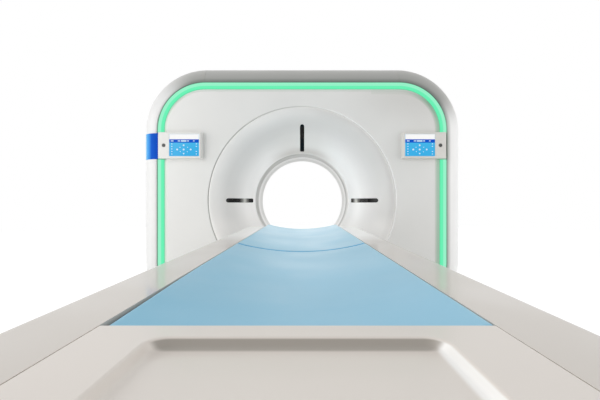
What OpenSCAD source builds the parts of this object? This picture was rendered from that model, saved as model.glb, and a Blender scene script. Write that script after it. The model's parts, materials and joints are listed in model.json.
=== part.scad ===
// CT scanner: a ring gantry with a turning X-ray rotor, and a scissor-lift patient table.
// X runs across, Y from the table's foot into the gantry, Z up. The origin is on the floor below the isocentre.

/* [Bore] */
// Radius of the patient bore
bore_r = 360; // [350:5:370]
// Height of the bore's axis above the floor
iso_z = 1000; // [980:5:1030]
// Distance of each bore rim from the scan plane
rim_y = 245; // [235:5:255]
// Radius of the seam round the flared mouth
seam_r = 677; // [660:1:685]

/* [Gantry covers] */
// Distance of the front and rear faces from the scan plane
face_y = 460; // [450:5:480]
// Half width of the light strip's outer edge
face_hw = 1049; // [1030:1:1070]
// Height of the light strip's outer edge above the bore axis
face_up = 856; // [840:1:870]
// Depth of the face's lower edge below the bore axis
face_down = 790; // [780:1:800]
// Corner radius of the light strip's outer edge
corner_r = 345; // [320:5:360]
// Radius of the rounded band outside the light strip
band_r = 120; // [110:1:125]
// Thickness of the moulded covers
cover_t = 6; // [5:0.5:8]

/* [Light strip] */
// Width of the light guide
strip_w = 48; // [40:1:52]
// How deep the light guide sits below the face
strip_recess = 8; // [5:1:10]
// Height above the floor where the strip ends
strip_end_z = 440; // [430:5:470]

/* [Panels] */
// Inner and outer edges of a touch panel, from the centre line
panel_in = 715; // [700:1:725]
panel_out = 1042; // [1036:1:1046]
// Bottom and top of a touch panel above the floor
panel_z0 = 1298; // [1290:1:1310]
panel_z1 = 1485; // [1475:1:1500]
// How far a panel stands out of the face
panel_d = 45; // [35:1:55]
// Radius of the call button
button_r = 12; // [10:0.5:14]

/* [Laser slots] */
// Inner and outer ends of a slot, from the bore axis
slot_in = 382; // [378:1:395]
slot_out = 565; // [550:1:570]
// Width of a slot
slot_w = 32; // [26:1:36]

/* [Rotor] */
// Outer radius of the rotor drum
rotor_r = 780; // [770:2:784]
// Inner radius of the rotor disc
rotor_in = 400; // [396:1:402]
// Distance from the bore axis to the X-ray tube's focal spot
focus_r = 570; // [560:5:580]
// Distance from the focal spot to the detector
detector_r = 1040; // [1030:5:1050]
// Radius of the motor pulley
pulley_r = 70; // [66:1:74]

/* [Patient table] */
// Height of the side rails' top at rest
table_z = 827; // [820:1:832]
// Inner and outer edges of a side rail, from the centre line
rail_in = 243; // [242:1:246]
rail_out = 350; // [344:1:354]
// Distance of the rails' head end from the scan plane
rail_head = 755; // [745:5:770]
// Distance of the rails' foot end from the scan plane
rail_foot = 3200; // [3190:5:3220]
// Distance of the cradle's tip from the scan plane
cradle_tip = 473; // [470:1:480]
// Distance of the mattress's foot edge from the scan plane
mattress_foot = 2711; // [2700:1:2718]
// Half width of the mattress
mattress_hw = 240; // [236:1:241]
// How deep the mattress dips in the middle
mattress_dip = 32; // [28:1:34]
// Thickness of the mattress
mattress_t = 28; // [26:1:30]

/* [Lift] */
// Length of a scissor arm between its end pivots
arm_l = 1000; // [995:1:1005]
// Angle of the arms above the floor at rest
arm_rest = 27.4; // [27:0.1:27.6]
// Height of the arm's base pivot
pivot_z = 110; // [108:1:112]
// Distance of the arm's base pivot from the scan plane
pivot_y = 2450; // [2440:1:2460]

/* [Hidden] */
$fn = 240;

white = [0.93, 0.93, 0.92];
silver = [0.72, 0.73, 0.73];
steel = [0.55, 0.57, 0.6];
dark = [0.13, 0.14, 0.15];
blue = [0.62, 0.78, 0.87];
mint = [0.5, 0.95, 0.75];

strip_t = 14;
bevel_w = 20;
bevel_d = 10;
lip_d = 40;
seam = 1;
overlap = 1;

funnel_r = seam_r - 1;
mouth_lip = 12;
funnel_t = 7;
funnel_depth = face_y - rim_y;
rear_seam_r = 640;

bearing_r = 446;
ball_r = 16;
ball_gap = 0.3;
bearing_v = -190;
disc_v0 = -165;
disc_v1 = -130;
motor_x = 600;
motor_y = -640;
belt_t = 5;
belt_w = 40;
belt_v = -105;
run_gap = 0.05;

skid_x0 = 560;
skid_x1 = 690;
skid_top = 160;
skid_l = 334;
anchor_x = 505;
anchor_y = 190;
anchor_r = 9;
beam_top = 220;

dip_r = (mattress_hw * mattress_hw + mattress_dip * mattress_dip) / (2 * mattress_dip);
dip_z = table_z - mattress_dip + dip_r;
cradle_t = 18;
slide_gap = 1.5;
cradle_top_r = dip_r + mattress_t;
cradle_low_r = cradle_top_r + cradle_t;
cradle_hw = rail_in - slide_gap;
cradle_foot = rail_foot - 5;
foot_panel_hw = rail_in - slide_gap;
recess_hw = 164;
recess_y0 = mattress_foot + 43;
recess_y1 = rail_foot - 60;
recess_d = 12;
recess_run = 9;
recess_r = 24;
holder_x = 80;
holder_r = 5;
holder_l = 60;
holder_z = dip_z - sqrt(pow((cradle_top_r + cradle_low_r) / 2, 2) - holder_x * holder_x);

screen_x0 = 735;
screen_w = 210;
screen_z0 = 1315;
screen_h = 155;
screen_t = 5;
screen_gap = 2;
pocket_d = 6;
button_x = 985;
button_z = 1391;
button_hole = 22;
button_l = 17;
button_proud = 2;
panel_lean = 16;
badge_t = 2;
badge_wrap = 64;
panel_up0 = panel_z0 - iso_z;
panel_up1 = panel_z1 - iso_z;
strip_fall = asin((iso_z - face_down + corner_r - strip_end_z) / corner_r);
plinth_hw = skid_x1 + cover_t;
plinth_hl = face_y - band_r;
plinth_gap = 4;
vent_w = 300;
vent_h = 12;
tube = 40;

rail_bottom = 690;
rail_t = 5;
rail_round = 12;
head_round = 80;
tray_bottom = 640;
pan_floor = tray_bottom + rail_t;
tray_hw = 318;
skirt_t = 4;
skirt_y = 1985;
skirt_hl = 715;
skirt_hw = 310;
skirt_r = 60;
tier_step = 8;

arm_rise = arm_l * sin(arm_rest);
arm_run = arm_l * cos(arm_rest);
hinge_z = pivot_z + arm_rise;
roller_y = pivot_y - arm_run;
arm_w = 60;
arm_t = 12;
outer_arm_x = 205;
inner_arm_x = 185;
lever_l = 130;
lever_back = 19.5;
lever_tilt = arm_rest - lever_back;
rod_z = pivot_z + lever_l * cos(lever_tilt) - 0.5;
rod_y = pivot_y + lever_l * sin(lever_tilt);
rod_neck = 28;
roller_r = 25;
track_half = roller_r + 0.3;
track_l = 240;
drive_y = 1280;
drive_r = 30;
drive_z = dip_z - cradle_low_r - 0.5 - drive_r;
carriage_y = [830, 1130, 1430, 2000, 2450, 3100];

// Turns a shape drawn in the gantry's face (x across, y above the bore axis, z forward) upright
module upright() translate([0, 0, iso_z]) rotate([90, 0, 0]) children();

// A shape and its mirror image on the other side of the centre line
module both_sides() {
  children();
  mirror([1, 0, 0]) children();
}

// A section drawn as (outward, forward) carried along a straight edge
module straight(len) rotate([90, 0, 0]) linear_extrude(len, center = true) children();

// The same section carried round a corner of the gantry's outline
module bend(start, angle = 90)
  rotate(start) rotate_extrude(angle = angle) translate([corner_r, 0]) children();

// The section carried down one side: upper corner, straight side and lower corner
module right_run() {
  translate([face_hw - corner_r, face_up - corner_r]) bend(0) children();
  translate([face_hw, (face_up - face_down) / 2])
    straight(face_up + face_down - 2 * corner_r) children();
  translate([face_hw - corner_r, corner_r - face_down]) bend(-90) children();
}

module top_run(gap = 0)
  translate([0, face_up]) rotate(90) straight(2 * (face_hw - corner_r) - gap) children();

module bottom_run(gap = 0)
  translate([0, -face_down]) rotate(-90) straight(2 * (face_hw - corner_r) - gap) children();

module whole_loop() {
  both_sides() right_run() children();
  top_run() children();
  bottom_run() children();
}

// The face's outline, moved inward
module face_outline(inset) {
  w = face_hw - inset;
  up = face_up - inset;
  down = face_down - inset;
  r = corner_r - inset;
  translate([-w + r, -down]) square([2 * (w - r), up + down]);
  translate([-w, r - down]) square([2 * w, up + down - 2 * r]);
  for (x = [r - w, w - r], y = [up - r, r - down]) translate([x, y]) circle(r);
}

module quarter_ring(r, t) intersection() {
  difference() {
    circle(r);
    circle(r - t);
  }
  square([r + 1, r + 1]);
}

// The rounded shoulder and inner lip at the band's front edge
module shoulder() {
  translate([0, face_y - band_r]) quarter_ring(band_r, cover_t);
  translate([0, face_y - lip_d]) square([cover_t, lip_d - cover_t / 2]);
}

module band_section() {
  shoulder();
  mirror([0, 1]) shoulder();
  translate([band_r - cover_t, band_r - face_y]) square([cover_t, 2 * (face_y - band_r)]);
}

// Depth of the flared mouth at a radius, as an S from the seam to the rim
function mouth(r, edge) =
  let (s = (edge - r) / (edge - bore_r - mouth_lip))
  face_y - funnel_depth * (1 - cos(180 * min(max(s, 0), 1))) / 2;

function mouth_curve(edge, back, steps = 36) =
  [for (i = [0 : steps]) let (r = edge - (edge - bore_r - mouth_lip) * i / steps) [r, mouth(r, edge) - back]];

function reversed(list) = [for (i = [len(list) - 1 : -1 : 0]) list[i]];

function lip_curve(steps = 6) =
  [for (i = [1 : steps]) let (a = 90 + 90 * i / steps)
    [bore_r + mouth_lip + mouth_lip * cos(a), rim_y - mouth_lip + mouth_lip * sin(a)]];

module funnel_shell(edge) rotate_extrude() polygon(concat(
  mouth_curve(edge, 0),
  lip_curve(),
  [[bore_r, rim_y - 20], [bore_r + cover_t, rim_y - 20], [bore_r + cover_t, rim_y - mouth_lip]],
  reversed(mouth_curve(edge, funnel_t))
));

// A layer of the funnel's own curve, between two depths below its surface
module funnel_layer(front, back) rotate_extrude()
  polygon(concat(mouth_curve(funnel_r, front, 12), reversed(mouth_curve(funnel_r, back, 12))));

// A slot's outline along +x, rounded at its outer end
module slot_outline(w) {
  grow = (w - slot_w) / 2;
  translate([slot_out - slot_w / 2, 0]) circle(w / 2);
  translate([slot_in - grow, -w / 2]) square([slot_out - slot_w / 2 - slot_in + grow, w]);
}

module at_slots() for (a = [0, 90, 180]) rotate(a) children();

module front_funnel() color(white) upright() difference() {
  funnel_shell(funnel_r);
  at_slots() translate([0, 0, rim_y - funnel_t - 5]) linear_extrude(face_y) slot_outline(slot_w);
}

module laser_windows() color(dark) upright() at_slots() intersection() {
  funnel_layer(funnel_t + 1, funnel_t + 5);
  translate([0, 0, rim_y - 20]) linear_extrude(face_y) slot_outline(slot_w + 24);
}

// A laser line generator behind each window, its front cut to the window's curve
module laser_modules() color(steel) upright() at_slots() difference() {
  union() {
    translate([430, -20, 225]) cube([90, 40, 120]);
    translate([475, 0, 212]) cylinder(r = 16, h = 20);
  }
  rotate_extrude() polygon(concat(
    mouth_curve(funnel_r, funnel_t + 5, 12),
    [[bore_r + mouth_lip, face_y], [funnel_r, face_y]]
  ));
}

module bore_liner(front) upright() mirror([0, 0, front ? 0 : 1]) {
  rotate_extrude() translate([bore_r, 61]) square([cover_t + 1, rim_y - 20 - 61]);
  rotate_extrude() translate([bore_r + 3, 49]) square([cover_t - 2, 13]);
}

module front_bore_liner() color(white) bore_liner(true);

module rear_bore_liner() color(white) bore_liner(false);

module scan_window() color([0.85, 0.86, 0.85]) upright()
  rotate_extrude() translate([bore_r + 0.6, -60]) square([2.4, 120]);

module rear_funnel() color(white) upright() mirror([0, 0, 1]) funnel_shell(rear_seam_r - 1);

// A face plate with a bevelled rim, and a collar whose ledge carries the flared mouth
module face_cover(edge, hole_r) {
  inner = edge + bevel_w;
  ledge = mouth(hole_r - seam - 8, hole_r - seam) - funnel_t - 0.01;
  difference() {
    translate([0, 0, face_y - cover_t]) linear_extrude(cover_t) face_outline(inner);
    cylinder(r = hole_r, h = face_y + 1);
  }
  whole_loop() polygon([
    [-inner, face_y], [-edge, face_y - bevel_d], [-edge, face_y - lip_d],
    [-edge - cover_t, face_y - lip_d], [-edge - cover_t, face_y - bevel_d - 4], [-inner, face_y - cover_t]
  ]);
  rotate_extrude() union() {
    translate([hole_r, ledge - cover_t]) square([cover_t, face_y - cover_t / 2 - ledge + cover_t]);
    translate([hole_r - 9, ledge - cover_t]) square([10, cover_t]);
  }
}

// The front cover also carries the light guide, on a shelf behind the groove
module front_cover() color(white) upright() {
  face_cover(strip_w + 2, seam_r);
  whole_loop() translate([-strip_w - 2 - cover_t, face_y - lip_d])
    square([strip_w + 2 + cover_t, lip_d - strip_recess - strip_t]);
}

module rear_cover() color(white) upright() mirror([0, 0, 1]) difference() {
  face_cover(1, rear_seam_r);
  for (s = [-1, 1], i = [0 : 11])
    translate([s * 760 - vent_w / 2, -600 + i * 2 * vent_h, face_y - 2 * cover_t])
      cube([vent_w, vent_h, 4 * cover_t]);
}

module top_cover() color(silver) upright() top_run(2 * seam) band_section();

module right_side_cover() color(silver) upright() right_run() band_section();

module left_side_cover() color(silver) mirror([1, 0, 0]) upright() right_run() band_section();

module lower_trim() color(silver) upright() {
  bottom_run(2 * seam) shoulder();
  bottom_run(2 * seam) mirror([0, 1]) shoulder();
}

module plinth_cover() color(silver) translate([0, 0, plinth_gap])
  linear_extrude(iso_z - face_down - band_r - plinth_gap) difference() {
    translate([-plinth_hw, -plinth_hl]) square([2 * plinth_hw, 2 * plinth_hl]);
    translate([-skid_x1, cover_t - plinth_hl]) square([2 * skid_x1, 2 * (plinth_hl - cover_t)]);
  }

// The light guide's own section, with its edges eased
module strip_section() {
  front = face_y - strip_recess;
  polygon([
    [-strip_w - 0.5, front - strip_t], [-0.5, front - strip_t], [-0.5, front - 3],
    [-4, front], [-strip_w + 4, front], [-strip_w - 0.5, front - 3]
  ]);
}

module light_strip() color(mint) upright() {
  side_top = face_up - corner_r;
  side_low = corner_r - face_down;
  top_run() strip_section();
  both_sides() {
    translate([face_hw - corner_r, side_top]) bend(0) strip_section();
    translate([face_hw, (side_top + panel_up1 + 2) / 2]) straight(side_top - panel_up1 - 2) strip_section();
    translate([face_hw, (side_low + panel_up0 - 2) / 2]) straight(panel_up0 - 2 - side_low) strip_section();
    translate([face_hw - corner_r, side_low]) bend(-strip_fall, strip_fall) strip_section();
  }
}

// A touch panel's housing, drawn on the right: a wedge-edged box with a pocket and a button bore
module panel_housing() {
  front = face_y + panel_d;
  difference() {
    translate([0, 0, panel_z0]) linear_extrude(panel_z1 - panel_z0) polygon([
      [panel_in, -face_y], [panel_in, 20 - front], [panel_in + 8, -front],
      [panel_out - panel_lean, -front], [panel_out, -face_y]
    ]);
    translate([screen_x0 - screen_gap, -front - 1, screen_z0 - screen_gap])
      cube([screen_w + 2 * screen_gap, pocket_d + 1, screen_h + 2 * screen_gap]);
    translate([button_x, button_hole - front, button_z]) rotate([90, 0, 0])
      cylinder(r = button_r + 0.3, h = button_hole + 1);
  }
}

module panel_screen() translate([screen_x0, pocket_d - screen_t - face_y - panel_d, screen_z0])
  cube([screen_w, screen_t, screen_h]);

module panel_button() translate([button_x, -face_y - panel_d, button_z]) rotate([90, 0, 0]) {
  translate([0, 0, -button_l]) cylinder(r = button_r, h = button_l);
  cylinder(r1 = button_r, r2 = button_r - 1.5, h = button_proud);
}

module left_panel_housing() color(white) mirror([1, 0, 0]) panel_housing();

module right_panel_housing() color(white) panel_housing();

module left_screen() color("deepskyblue") mirror([1, 0, 0]) panel_screen();

module right_screen() color("deepskyblue") panel_screen();

module left_button() color(dark) mirror([1, 0, 0]) panel_button();

module right_button() color(dark) panel_button();

// The blue plate that wraps the left panel's outer side and the shoulder beside it
module side_badge() color("royalblue") mirror([1, 0, 0]) upright()
  translate([face_hw, (panel_up0 + panel_up1) / 2]) {
    side = panel_out - face_hw;
    straight(panel_up1 - panel_up0) translate([0, face_y - band_r]) intersection() {
      difference() {
        circle(band_r + badge_t);
        circle(band_r);
      }
      polygon([[0, 0], [0, 200], 200 * [1, 1], 200 * [sin(badge_wrap), cos(badge_wrap)]]);
    }
    straight(panel_up1 - panel_up0) polygon([
      [side, face_y], [side - panel_lean, face_y + panel_d], [side - panel_lean + badge_t, face_y + panel_d],
      [side + badge_t, face_y + badge_t - 0.2], [3, face_y + badge_t - 0.2], [3, face_y + 0.2]
    ]);
  }

// Skids, cross beams, anchor plates and the motor's platform
module gantry_base_frame() color(steel) difference() {
  union() {
    both_sides() {
      translate([skid_x0, -skid_l, 0]) cube([skid_x1 - skid_x0, 2 * skid_l, skid_top]);
      for (s = [-1, 1])
        translate([anchor_x - 55, s * anchor_y - 50, 0]) cube([skid_x0 - anchor_x + 56, 100, 25]);
      translate([500, -180, skid_top]) cube([skid_x1 - 500, 240, beam_top - skid_top]);
    }
    for (y = [-350, 270]) translate([-760, y, skid_top]) cube([1520, 80, beam_top - skid_top]);
  }
  both_sides() for (s = [-1, 1]) translate([anchor_x, s * anchor_y, -1]) cylinder(r = anchor_r, h = 30);
}

// The upright plate that carries the bearing, and the tube frame that holds the covers
module gantry_frame() color(steel) {
  upright() translate([0, 0, -255]) difference() {
    linear_extrude(40) difference() {
      union() {
        circle(690);
        translate([-640, skid_top - iso_z]) square([1280, iso_z - skid_top]);
      }
      circle(470);
      for (a = [22.5 : 45 : 180]) rotate(a) translate([590, 0]) circle(55);
    }
    translate([-skid_x0, skid_top - iso_z - 1, -1]) cube([2 * skid_x0, 61, 42]);
  }
  for (y = [-330, 290]) {
    both_sides() translate([700, y, beam_top]) cube([tube, tube, 1700 - beam_top]);
    translate([-740, y, 1700]) cube([1480, tube, tube]);
    for (x = [-420, 0, 380])
      translate([x, y, 1700]) cube([tube, tube, iso_z + face_up + band_r - cover_t - 1700]);
  }
  both_sides() for (z = [700, 1260]) {
    for (y = [-330, 290]) translate([700, y, z]) cube([face_hw + band_r - cover_t - 700, tube, tube]);
    translate([face_hw + band_r - cover_t - tube, -330, z]) cube([tube, 660, tube]);
  }
  both_sides() {
    for (z = [500, 1560]) {
      translate([700, cover_t - face_y, z]) cube([tube, face_y - cover_t - 300, tube]);
      translate([700, 300, z]) cube([tube, face_y - cover_t - 300, tube]);
    }
    translate([600, 255, 500]) cube([140, 75, 60]);
  }
}

module bearing_outer_ring() color(steel) upright() rotate_extrude() difference() {
  translate([452, -215]) square([48, 45]);
  translate([bearing_r, bearing_v]) circle(ball_r + ball_gap);
}

module bearing_inner_ring() color(steel) upright() rotate_extrude() difference() {
  translate([rotor_in, -210]) square([40, 45]);
  translate([bearing_r, bearing_v]) circle(ball_r + ball_gap);
}

module bearing_balls() color("silver") upright()
  for (a = [0 : 10 : 350]) rotate(a) translate([bearing_r, 0, bearing_v]) sphere(ball_r);

module rotor_drum() color([0.8, 0.8, 0.82]) upright() difference() {
  rotate_extrude() union() {
    translate([rotor_in, disc_v0]) square([rotor_r - rotor_in, disc_v1 - disc_v0]);
    translate([rotor_r - 15, disc_v1 - overlap]) square([15, 250 + overlap]);
  }
  for (a = [15 : 30 : 345])
    rotate(a) translate([rotor_r - 25, 0, 40]) rotate([0, 90, 0]) cylinder(r = 45, h = 50);
  for (a = [0 : 30 : 330]) rotate(a) translate([440, 0, disc_v0 - 1]) cylinder(r = 12, h = 60);
}

// A disc with six contact tracks on its rear face
module slip_ring() color("goldenrod") upright() rotate_extrude() union() {
  translate([560, -177]) square([140, 12]);
  for (i = [0 : 5]) translate([570 + 21 * i, -184]) square([15, 8]);
}

module brush_block() color(dark) upright() rotate(-45) {
  translate([565, -45, -215]) cube([125, 90, 20]);
  for (i = [0 : 5], s = [-25, 25]) translate([577.5 + 21 * i, s, -196]) cylinder(r = 6, h = 11.7);
}

module xray_tube() color(silver) upright() translate([0, focus_r + 20, 0]) {
  translate([0, 0, disc_v1]) cylinder(r = 105, h = 200);
  translate([0, 0, disc_v1 + 200]) cylinder(r1 = 105, r2 = 80, h = 20);
  translate([0, 0, disc_v1]) cylinder(r = 118, h = 18);
  both_sides() translate([62, 40, -20]) rotate([0, 60, 0]) cylinder(r = 28, h = 85);
  translate([-45, -108, -45]) cube([90, 40, 90]);
}

module collimator() color(dark) upright() difference() {
  union() {
    translate([-100, 418, -70]) cube([200, 64, 140]);
    translate([-60, 432, disc_v1]) cube([120, 36, 62]);
  }
  translate([-60, 410, -3]) cube([120, 80, 6]);
}

module hv_generator() color(silver) upright() {
  translate([-700, -150, disc_v1]) cube([220, 300, 210]);
  for (i = [0 : 8]) translate([-712, -140 + i * 33, disc_v1]) cube([13, 12, 190]);
  translate([-560, 0, 80]) cylinder(r = 34, h = 22);
}

module data_unit() color(steel) upright() {
  translate([480, -260, disc_v1]) cube([200, 240, 170]);
  for (i = [0 : 7]) translate([495 + i * 22, -250, 39]) cube([8, 220, 14]);
}

// Detector modules on an arc struck from the focal spot
module detector_array() color(dark) upright() translate([0, focus_r, 0]) {
  rotate(-114) rotate_extrude(angle = 48) {
    translate([detector_r, -80]) square([45, 160]);
    translate([detector_r + 8, disc_v1]) square([30, 51]);
  }
  for (i = [0 : 19]) rotate(-112.8 + i * 2.4) translate([detector_r + 44, -17, -70]) cube([20, 34, 140]);
}

module counterweights() color(steel) upright() for (a = [225, 295])
  rotate(a) rotate_extrude(angle = 20) translate([660, disc_v1]) square([90, 95]);

function turn(r, a) = [r * cos(a), r * sin(a)];

// The outline of a loop round the rotor and the motor pulley
module belt_loop(big, small) {
  reach = norm([motor_x, motor_y]);
  lean = atan2(motor_y, motor_x);
  open = acos((big - small) / reach);
  centre = [motor_x, motor_y];
  circle(big);
  translate(centre) circle(small);
  polygon([
    turn(big, lean + open), centre + turn(small, lean + open),
    centre + turn(small, lean - open), turn(big, lean - open)
  ]);
}

module drive_belt() color(dark) upright() translate([0, 0, belt_v - belt_w / 2]) linear_extrude(belt_w) difference() {
  belt_loop(rotor_r + 0.3 + belt_t, pulley_r + 0.3 + belt_t);
  belt_loop(rotor_r + 0.3, pulley_r + 0.3);
}

module motor_pulley() color(silver) upright() translate([motor_x, motor_y, 0]) {
  translate([0, 0, belt_v - 25]) cylinder(r = pulley_r, h = 50);
  translate([0, 0, belt_v - 25]) cylinder(r = 15, h = 110);
}

module drive_motor() color(dark) upright() translate([motor_x, motor_y, 0]) difference() {
  union() {
    translate([0, 0, -60]) cylinder(r = 86, h = 240);
    translate([-60, beam_top - iso_z - motor_y, -50]) cube([120, 80, 200]);
    for (a = [0 : 20 : 340]) rotate(a) translate([84, -2, -40]) cube([5, 4, 200]);
  }
  translate([0, 0, -61]) cylinder(r = 15 + run_gap, h = 60);
}

module ring_plan(hw, hl, r, t) difference() {
  round_plan(hw, hl, r);
  round_plan(hw - t, hl - t, r - t);
}

module round_plan(hw, hl, r) {
  translate([-hw + r, -hl]) square([2 * (hw - r), 2 * hl]);
  translate([-hw, -hl + r]) square([2 * hw, 2 * (hl - r)]);
  for (x = [r - hw, hw - r], y = [r - hl, hl - r]) translate([x, y]) circle(r);
}

// One tier of the telescoping cover round the lift, counted inward from the top tier
module skirt_tier(n, z0, z1) color(white) translate([0, -skirt_y, z0]) linear_extrude(z1 - z0)
  ring_plan(skirt_hw - n * tier_step, skirt_hl - n * tier_step, skirt_r - n * tier_step, skirt_t);

module upper_skirt() skirt_tier(0, 370, tray_bottom);

module middle_skirt() skirt_tier(1, 200, 455);

module lower_skirt() skirt_tier(2, 4, 280);

// A section drawn in (y, z) extruded across the table from x0 to x1
module across(x0, x1) translate([x0, 0, 0]) rotate([90, 0, 90]) linear_extrude(x1 - x0) children();

// A section drawn in (x, z) carried along the table, from y0 out to y1 towards the foot
module along(y0, y1) translate([0, -y0, 0]) rotate([90, 0, 0]) linear_extrude(y1 - y0) children();

module couch_base_frame() color(steel) difference() {
  union() {
    translate([0, -skirt_y, 0]) linear_extrude(12)
      round_plan(skirt_hw - 2 * tier_step - skirt_t, skirt_hl - 2 * tier_step - skirt_t, skirt_r - 2 * tier_step - skirt_t);
    both_sides() {
      translate([222, -pivot_y - 40, 0]) cube([16, 80, pivot_z + 35]);
      translate([156, -roller_y - 90, 0]) cube([28, track_l, pivot_z - track_half]);
    }
    translate([-238, -pivot_y, pivot_z]) rotate([0, 90, 0]) cylinder(r = 15, h = 476);
    translate([-30, -1760, 0]) cube([60, 40, rod_z + 20]);
  }
  both_sides() for (s = [-1, 1]) translate([240, s * 615 - skirt_y, -1]) cylinder(r = 8, h = 20);
}

// A scissor arm's plate, from a pivot at the origin along +y
module arm_plate(x) across(x, x + arm_t) difference() {
  union() {
    translate([0, -arm_w / 2]) square([arm_l, arm_w]);
    circle(arm_w / 2);
    translate([arm_l, 0]) circle(arm_w / 2);
  }
  circle(15 + run_gap);
  translate([arm_l, 0]) circle(12 + run_gap);
}

module at_base_pivot() translate([0, -pivot_y, pivot_z]) rotate([arm_rest, 0, 0]) children();

module cross_rod(x, y, r) translate([-x, y, 0]) rotate([0, 90, 0]) cylinder(r = r, h = 2 * x);

// The outer arm: two plates, the torque tube with its drive lever, and the middle trunnions
module scissor_arm_outer() color(silver) at_base_pivot() {
  difference() {
    union() {
      both_sides() arm_plate(outer_arm_x);
      cross_rod(outer_arm_x, 0, 28);
      rotate([-lever_back, 0, 0]) both_sides() across(12, 22) union() {
        translate([-20, 0]) square([40, lever_l]);
        circle(28);
        translate([0, lever_l]) circle(20);
      }
    }
    cross_rod(outer_arm_x + 1, 0, 15 + run_gap);
  }
  rotate([-lever_back, 0, 0]) translate([-22, 0, lever_l]) rotate([0, 90, 0]) cylinder(r = 8, h = 44);
  both_sides() translate([184, arm_l / 2, 0]) rotate([0, 90, 0]) cylinder(r = 12, h = outer_arm_x + arm_t - 184);
}

module at_hinge() translate([0, -pivot_y, hinge_z]) rotate([-arm_rest, 0, 0]) children();

// The inner arm: two plates joined by a tie bar
module scissor_arm_inner() color(silver) at_hinge() difference() {
  union() {
    both_sides() across(inner_arm_x, inner_arm_x + arm_t) union() {
      translate([0, -arm_w / 2]) square([arm_l, arm_w]);
      circle(arm_w / 2);
      translate([arm_l, 0]) circle(arm_w / 2);
    }
    cross_rod(inner_arm_x, arm_l - 110, 14);
  }
  both_sides() for (y = [0, arm_l / 2, arm_l]) translate([inner_arm_x - 1, y, 0])
    rotate([0, 90, 0]) cylinder(r = 12 + run_gap, h = arm_t + 2);
}

module lower_rollers() color("silver") translate([0, -roller_y, pivot_z]) {
  cross_rod(inner_arm_x + arm_t - 1, 0, 12);
  both_sides() translate([165, 0, 0]) rotate([0, 90, 0]) cylinder(r = roller_r, h = 18);
}

module upper_rollers() color("silver") translate([0, -roller_y, hinge_z]) {
  cross_rod(234, 0, 12);
  both_sides() translate([219, 0, 0]) rotate([0, 90, 0]) cylinder(r = roller_r, h = 14);
}

module lift_actuator_body() color(dark) translate([0, 0, rod_z]) difference() {
  union() {
    translate([0, -1760, 0]) rotate([90, 0, 0]) cylinder(r = 26, h = 620);
    translate([-30, -1900, -28]) cube([60, 140, 54]);
  }
  translate([0, -2100, 0]) rotate([90, 0, 0]) cylinder(r = 14 + run_gap, h = 300);
}

module lift_actuator_rod() color("silver") translate([0, 0, rod_z]) difference() {
  union() {
    translate([0, -2200, 0]) rotate([90, 0, 0]) cylinder(r = 14, h = rod_y - 2200 - rod_neck);
    translate([0, -2200, 0]) rotate([90, 0, 0]) cylinder(r = 9, h = rod_y - 2200);
    translate([-10, -rod_y, 0]) rotate([0, 90, 0]) cylinder(r = 19, h = 20);
  }
  translate([-11, -rod_y, 0]) rotate([0, 90, 0]) cylinder(r = 11, h = 22);
}

// Box beams, cross members, lift brackets and tracks, the cradle's guide blocks and the drive's shelf
module upper_frame() color(steel) {
  both_sides() {
    translate([199, -3150, pan_floor]) cube([40, 2340, 55]);
    across(199, 211) translate([-pivot_y - 30, hinge_z - 25]) square([60, 660 - hinge_z + 25]);
    translate([184, -pivot_y, hinge_z]) rotate([0, 90, 0]) cylinder(r = 12, h = 20);
    translate([218, -roller_y - 90, hinge_z - track_half - 7]) cube([18, track_l, 7]);
    translate([218, -roller_y - 90, hinge_z + track_half]) cube([18, track_l, pan_floor - hinge_z - track_half]);
    translate([235, -roller_y - 90, hinge_z - track_half - 7]) cube([5, track_l, 652 - hinge_z + track_half]);
    for (y = carriage_y) {
      translate([128, -y - 30, 683]) cube([49, 60, 31.7]);
      translate([128, -y - 30, 683]) cube([11.7, 60, 62]);
      translate([165.3, -y - 30, 683]) cube([11.7, 60, 62]);
    }
  }
  for (y = carriage_y) translate([-239, -y - 25, pan_floor]) cube([478, 50, 39]);
  translate([-45, -1450, 676]) cube([170, 340, 8]);
  translate([-40, -drive_y - 15, 683]) difference() {
    cube([14, 30, 52]);
    translate([-1, 15, drive_z - 683]) rotate([0, 90, 0]) cylinder(r = 8 + run_gap, h = 16);
  }
}

module cradle_drive_motor() color(dark) difference() {
  translate([40, -drive_y - 50, 684]) cube([80, 100, 55]);
  translate([39, -drive_y, drive_z]) rotate([0, 90, 0]) cylinder(r = 8 + run_gap, h = 31);
}

module cradle_drive_pulley() color([0.2, 0.2, 0.2]) translate([0, -drive_y, drive_z]) rotate([0, 90, 0]) {
  translate([0, 0, -20]) cylinder(r = drive_r, h = 40);
  translate([0, 0, -39]) cylinder(r = 8, h = 108);
}

// The table's outline, rounded at its head end, moved inward
module table_plan(inset) {
  w = rail_out - inset;
  reach = rail_foot - rail_head;
  translate([-w, -rail_foot - 1]) square([2 * w, reach - head_round + 1]);
  translate([head_round - rail_out, -rail_foot - 1]) square([2 * (rail_out - head_round), reach - inset + 1]);
  for (s = [-1, 1]) translate([s * (rail_out - head_round), -rail_head - head_round]) circle(head_round - inset);
}

module tray_solid(inset) intersection() {
  along(rail_head, rail_foot - inset) polygon([
    [inset - rail_out, rail_bottom + inset], [inset - rail_out, rail_bottom],
    [inset - tray_hw, tray_bottom + inset], [tray_hw - inset, tray_bottom + inset],
    [rail_out - inset, rail_bottom], [rail_out - inset, rail_bottom + inset]
  ]);
  translate([0, 0, tray_bottom - 1]) linear_extrude(100) table_plan(inset);
}

// The pan under the table, open where the lift comes through
module under_tray() color(white) difference() {
  tray_solid(0);
  tray_solid(rail_t);
  translate([0, -skirt_y, tray_bottom - 1]) linear_extrude(10) round_plan(skirt_hw - 12, skirt_hl - 12, skirt_r - 10);
}

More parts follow.
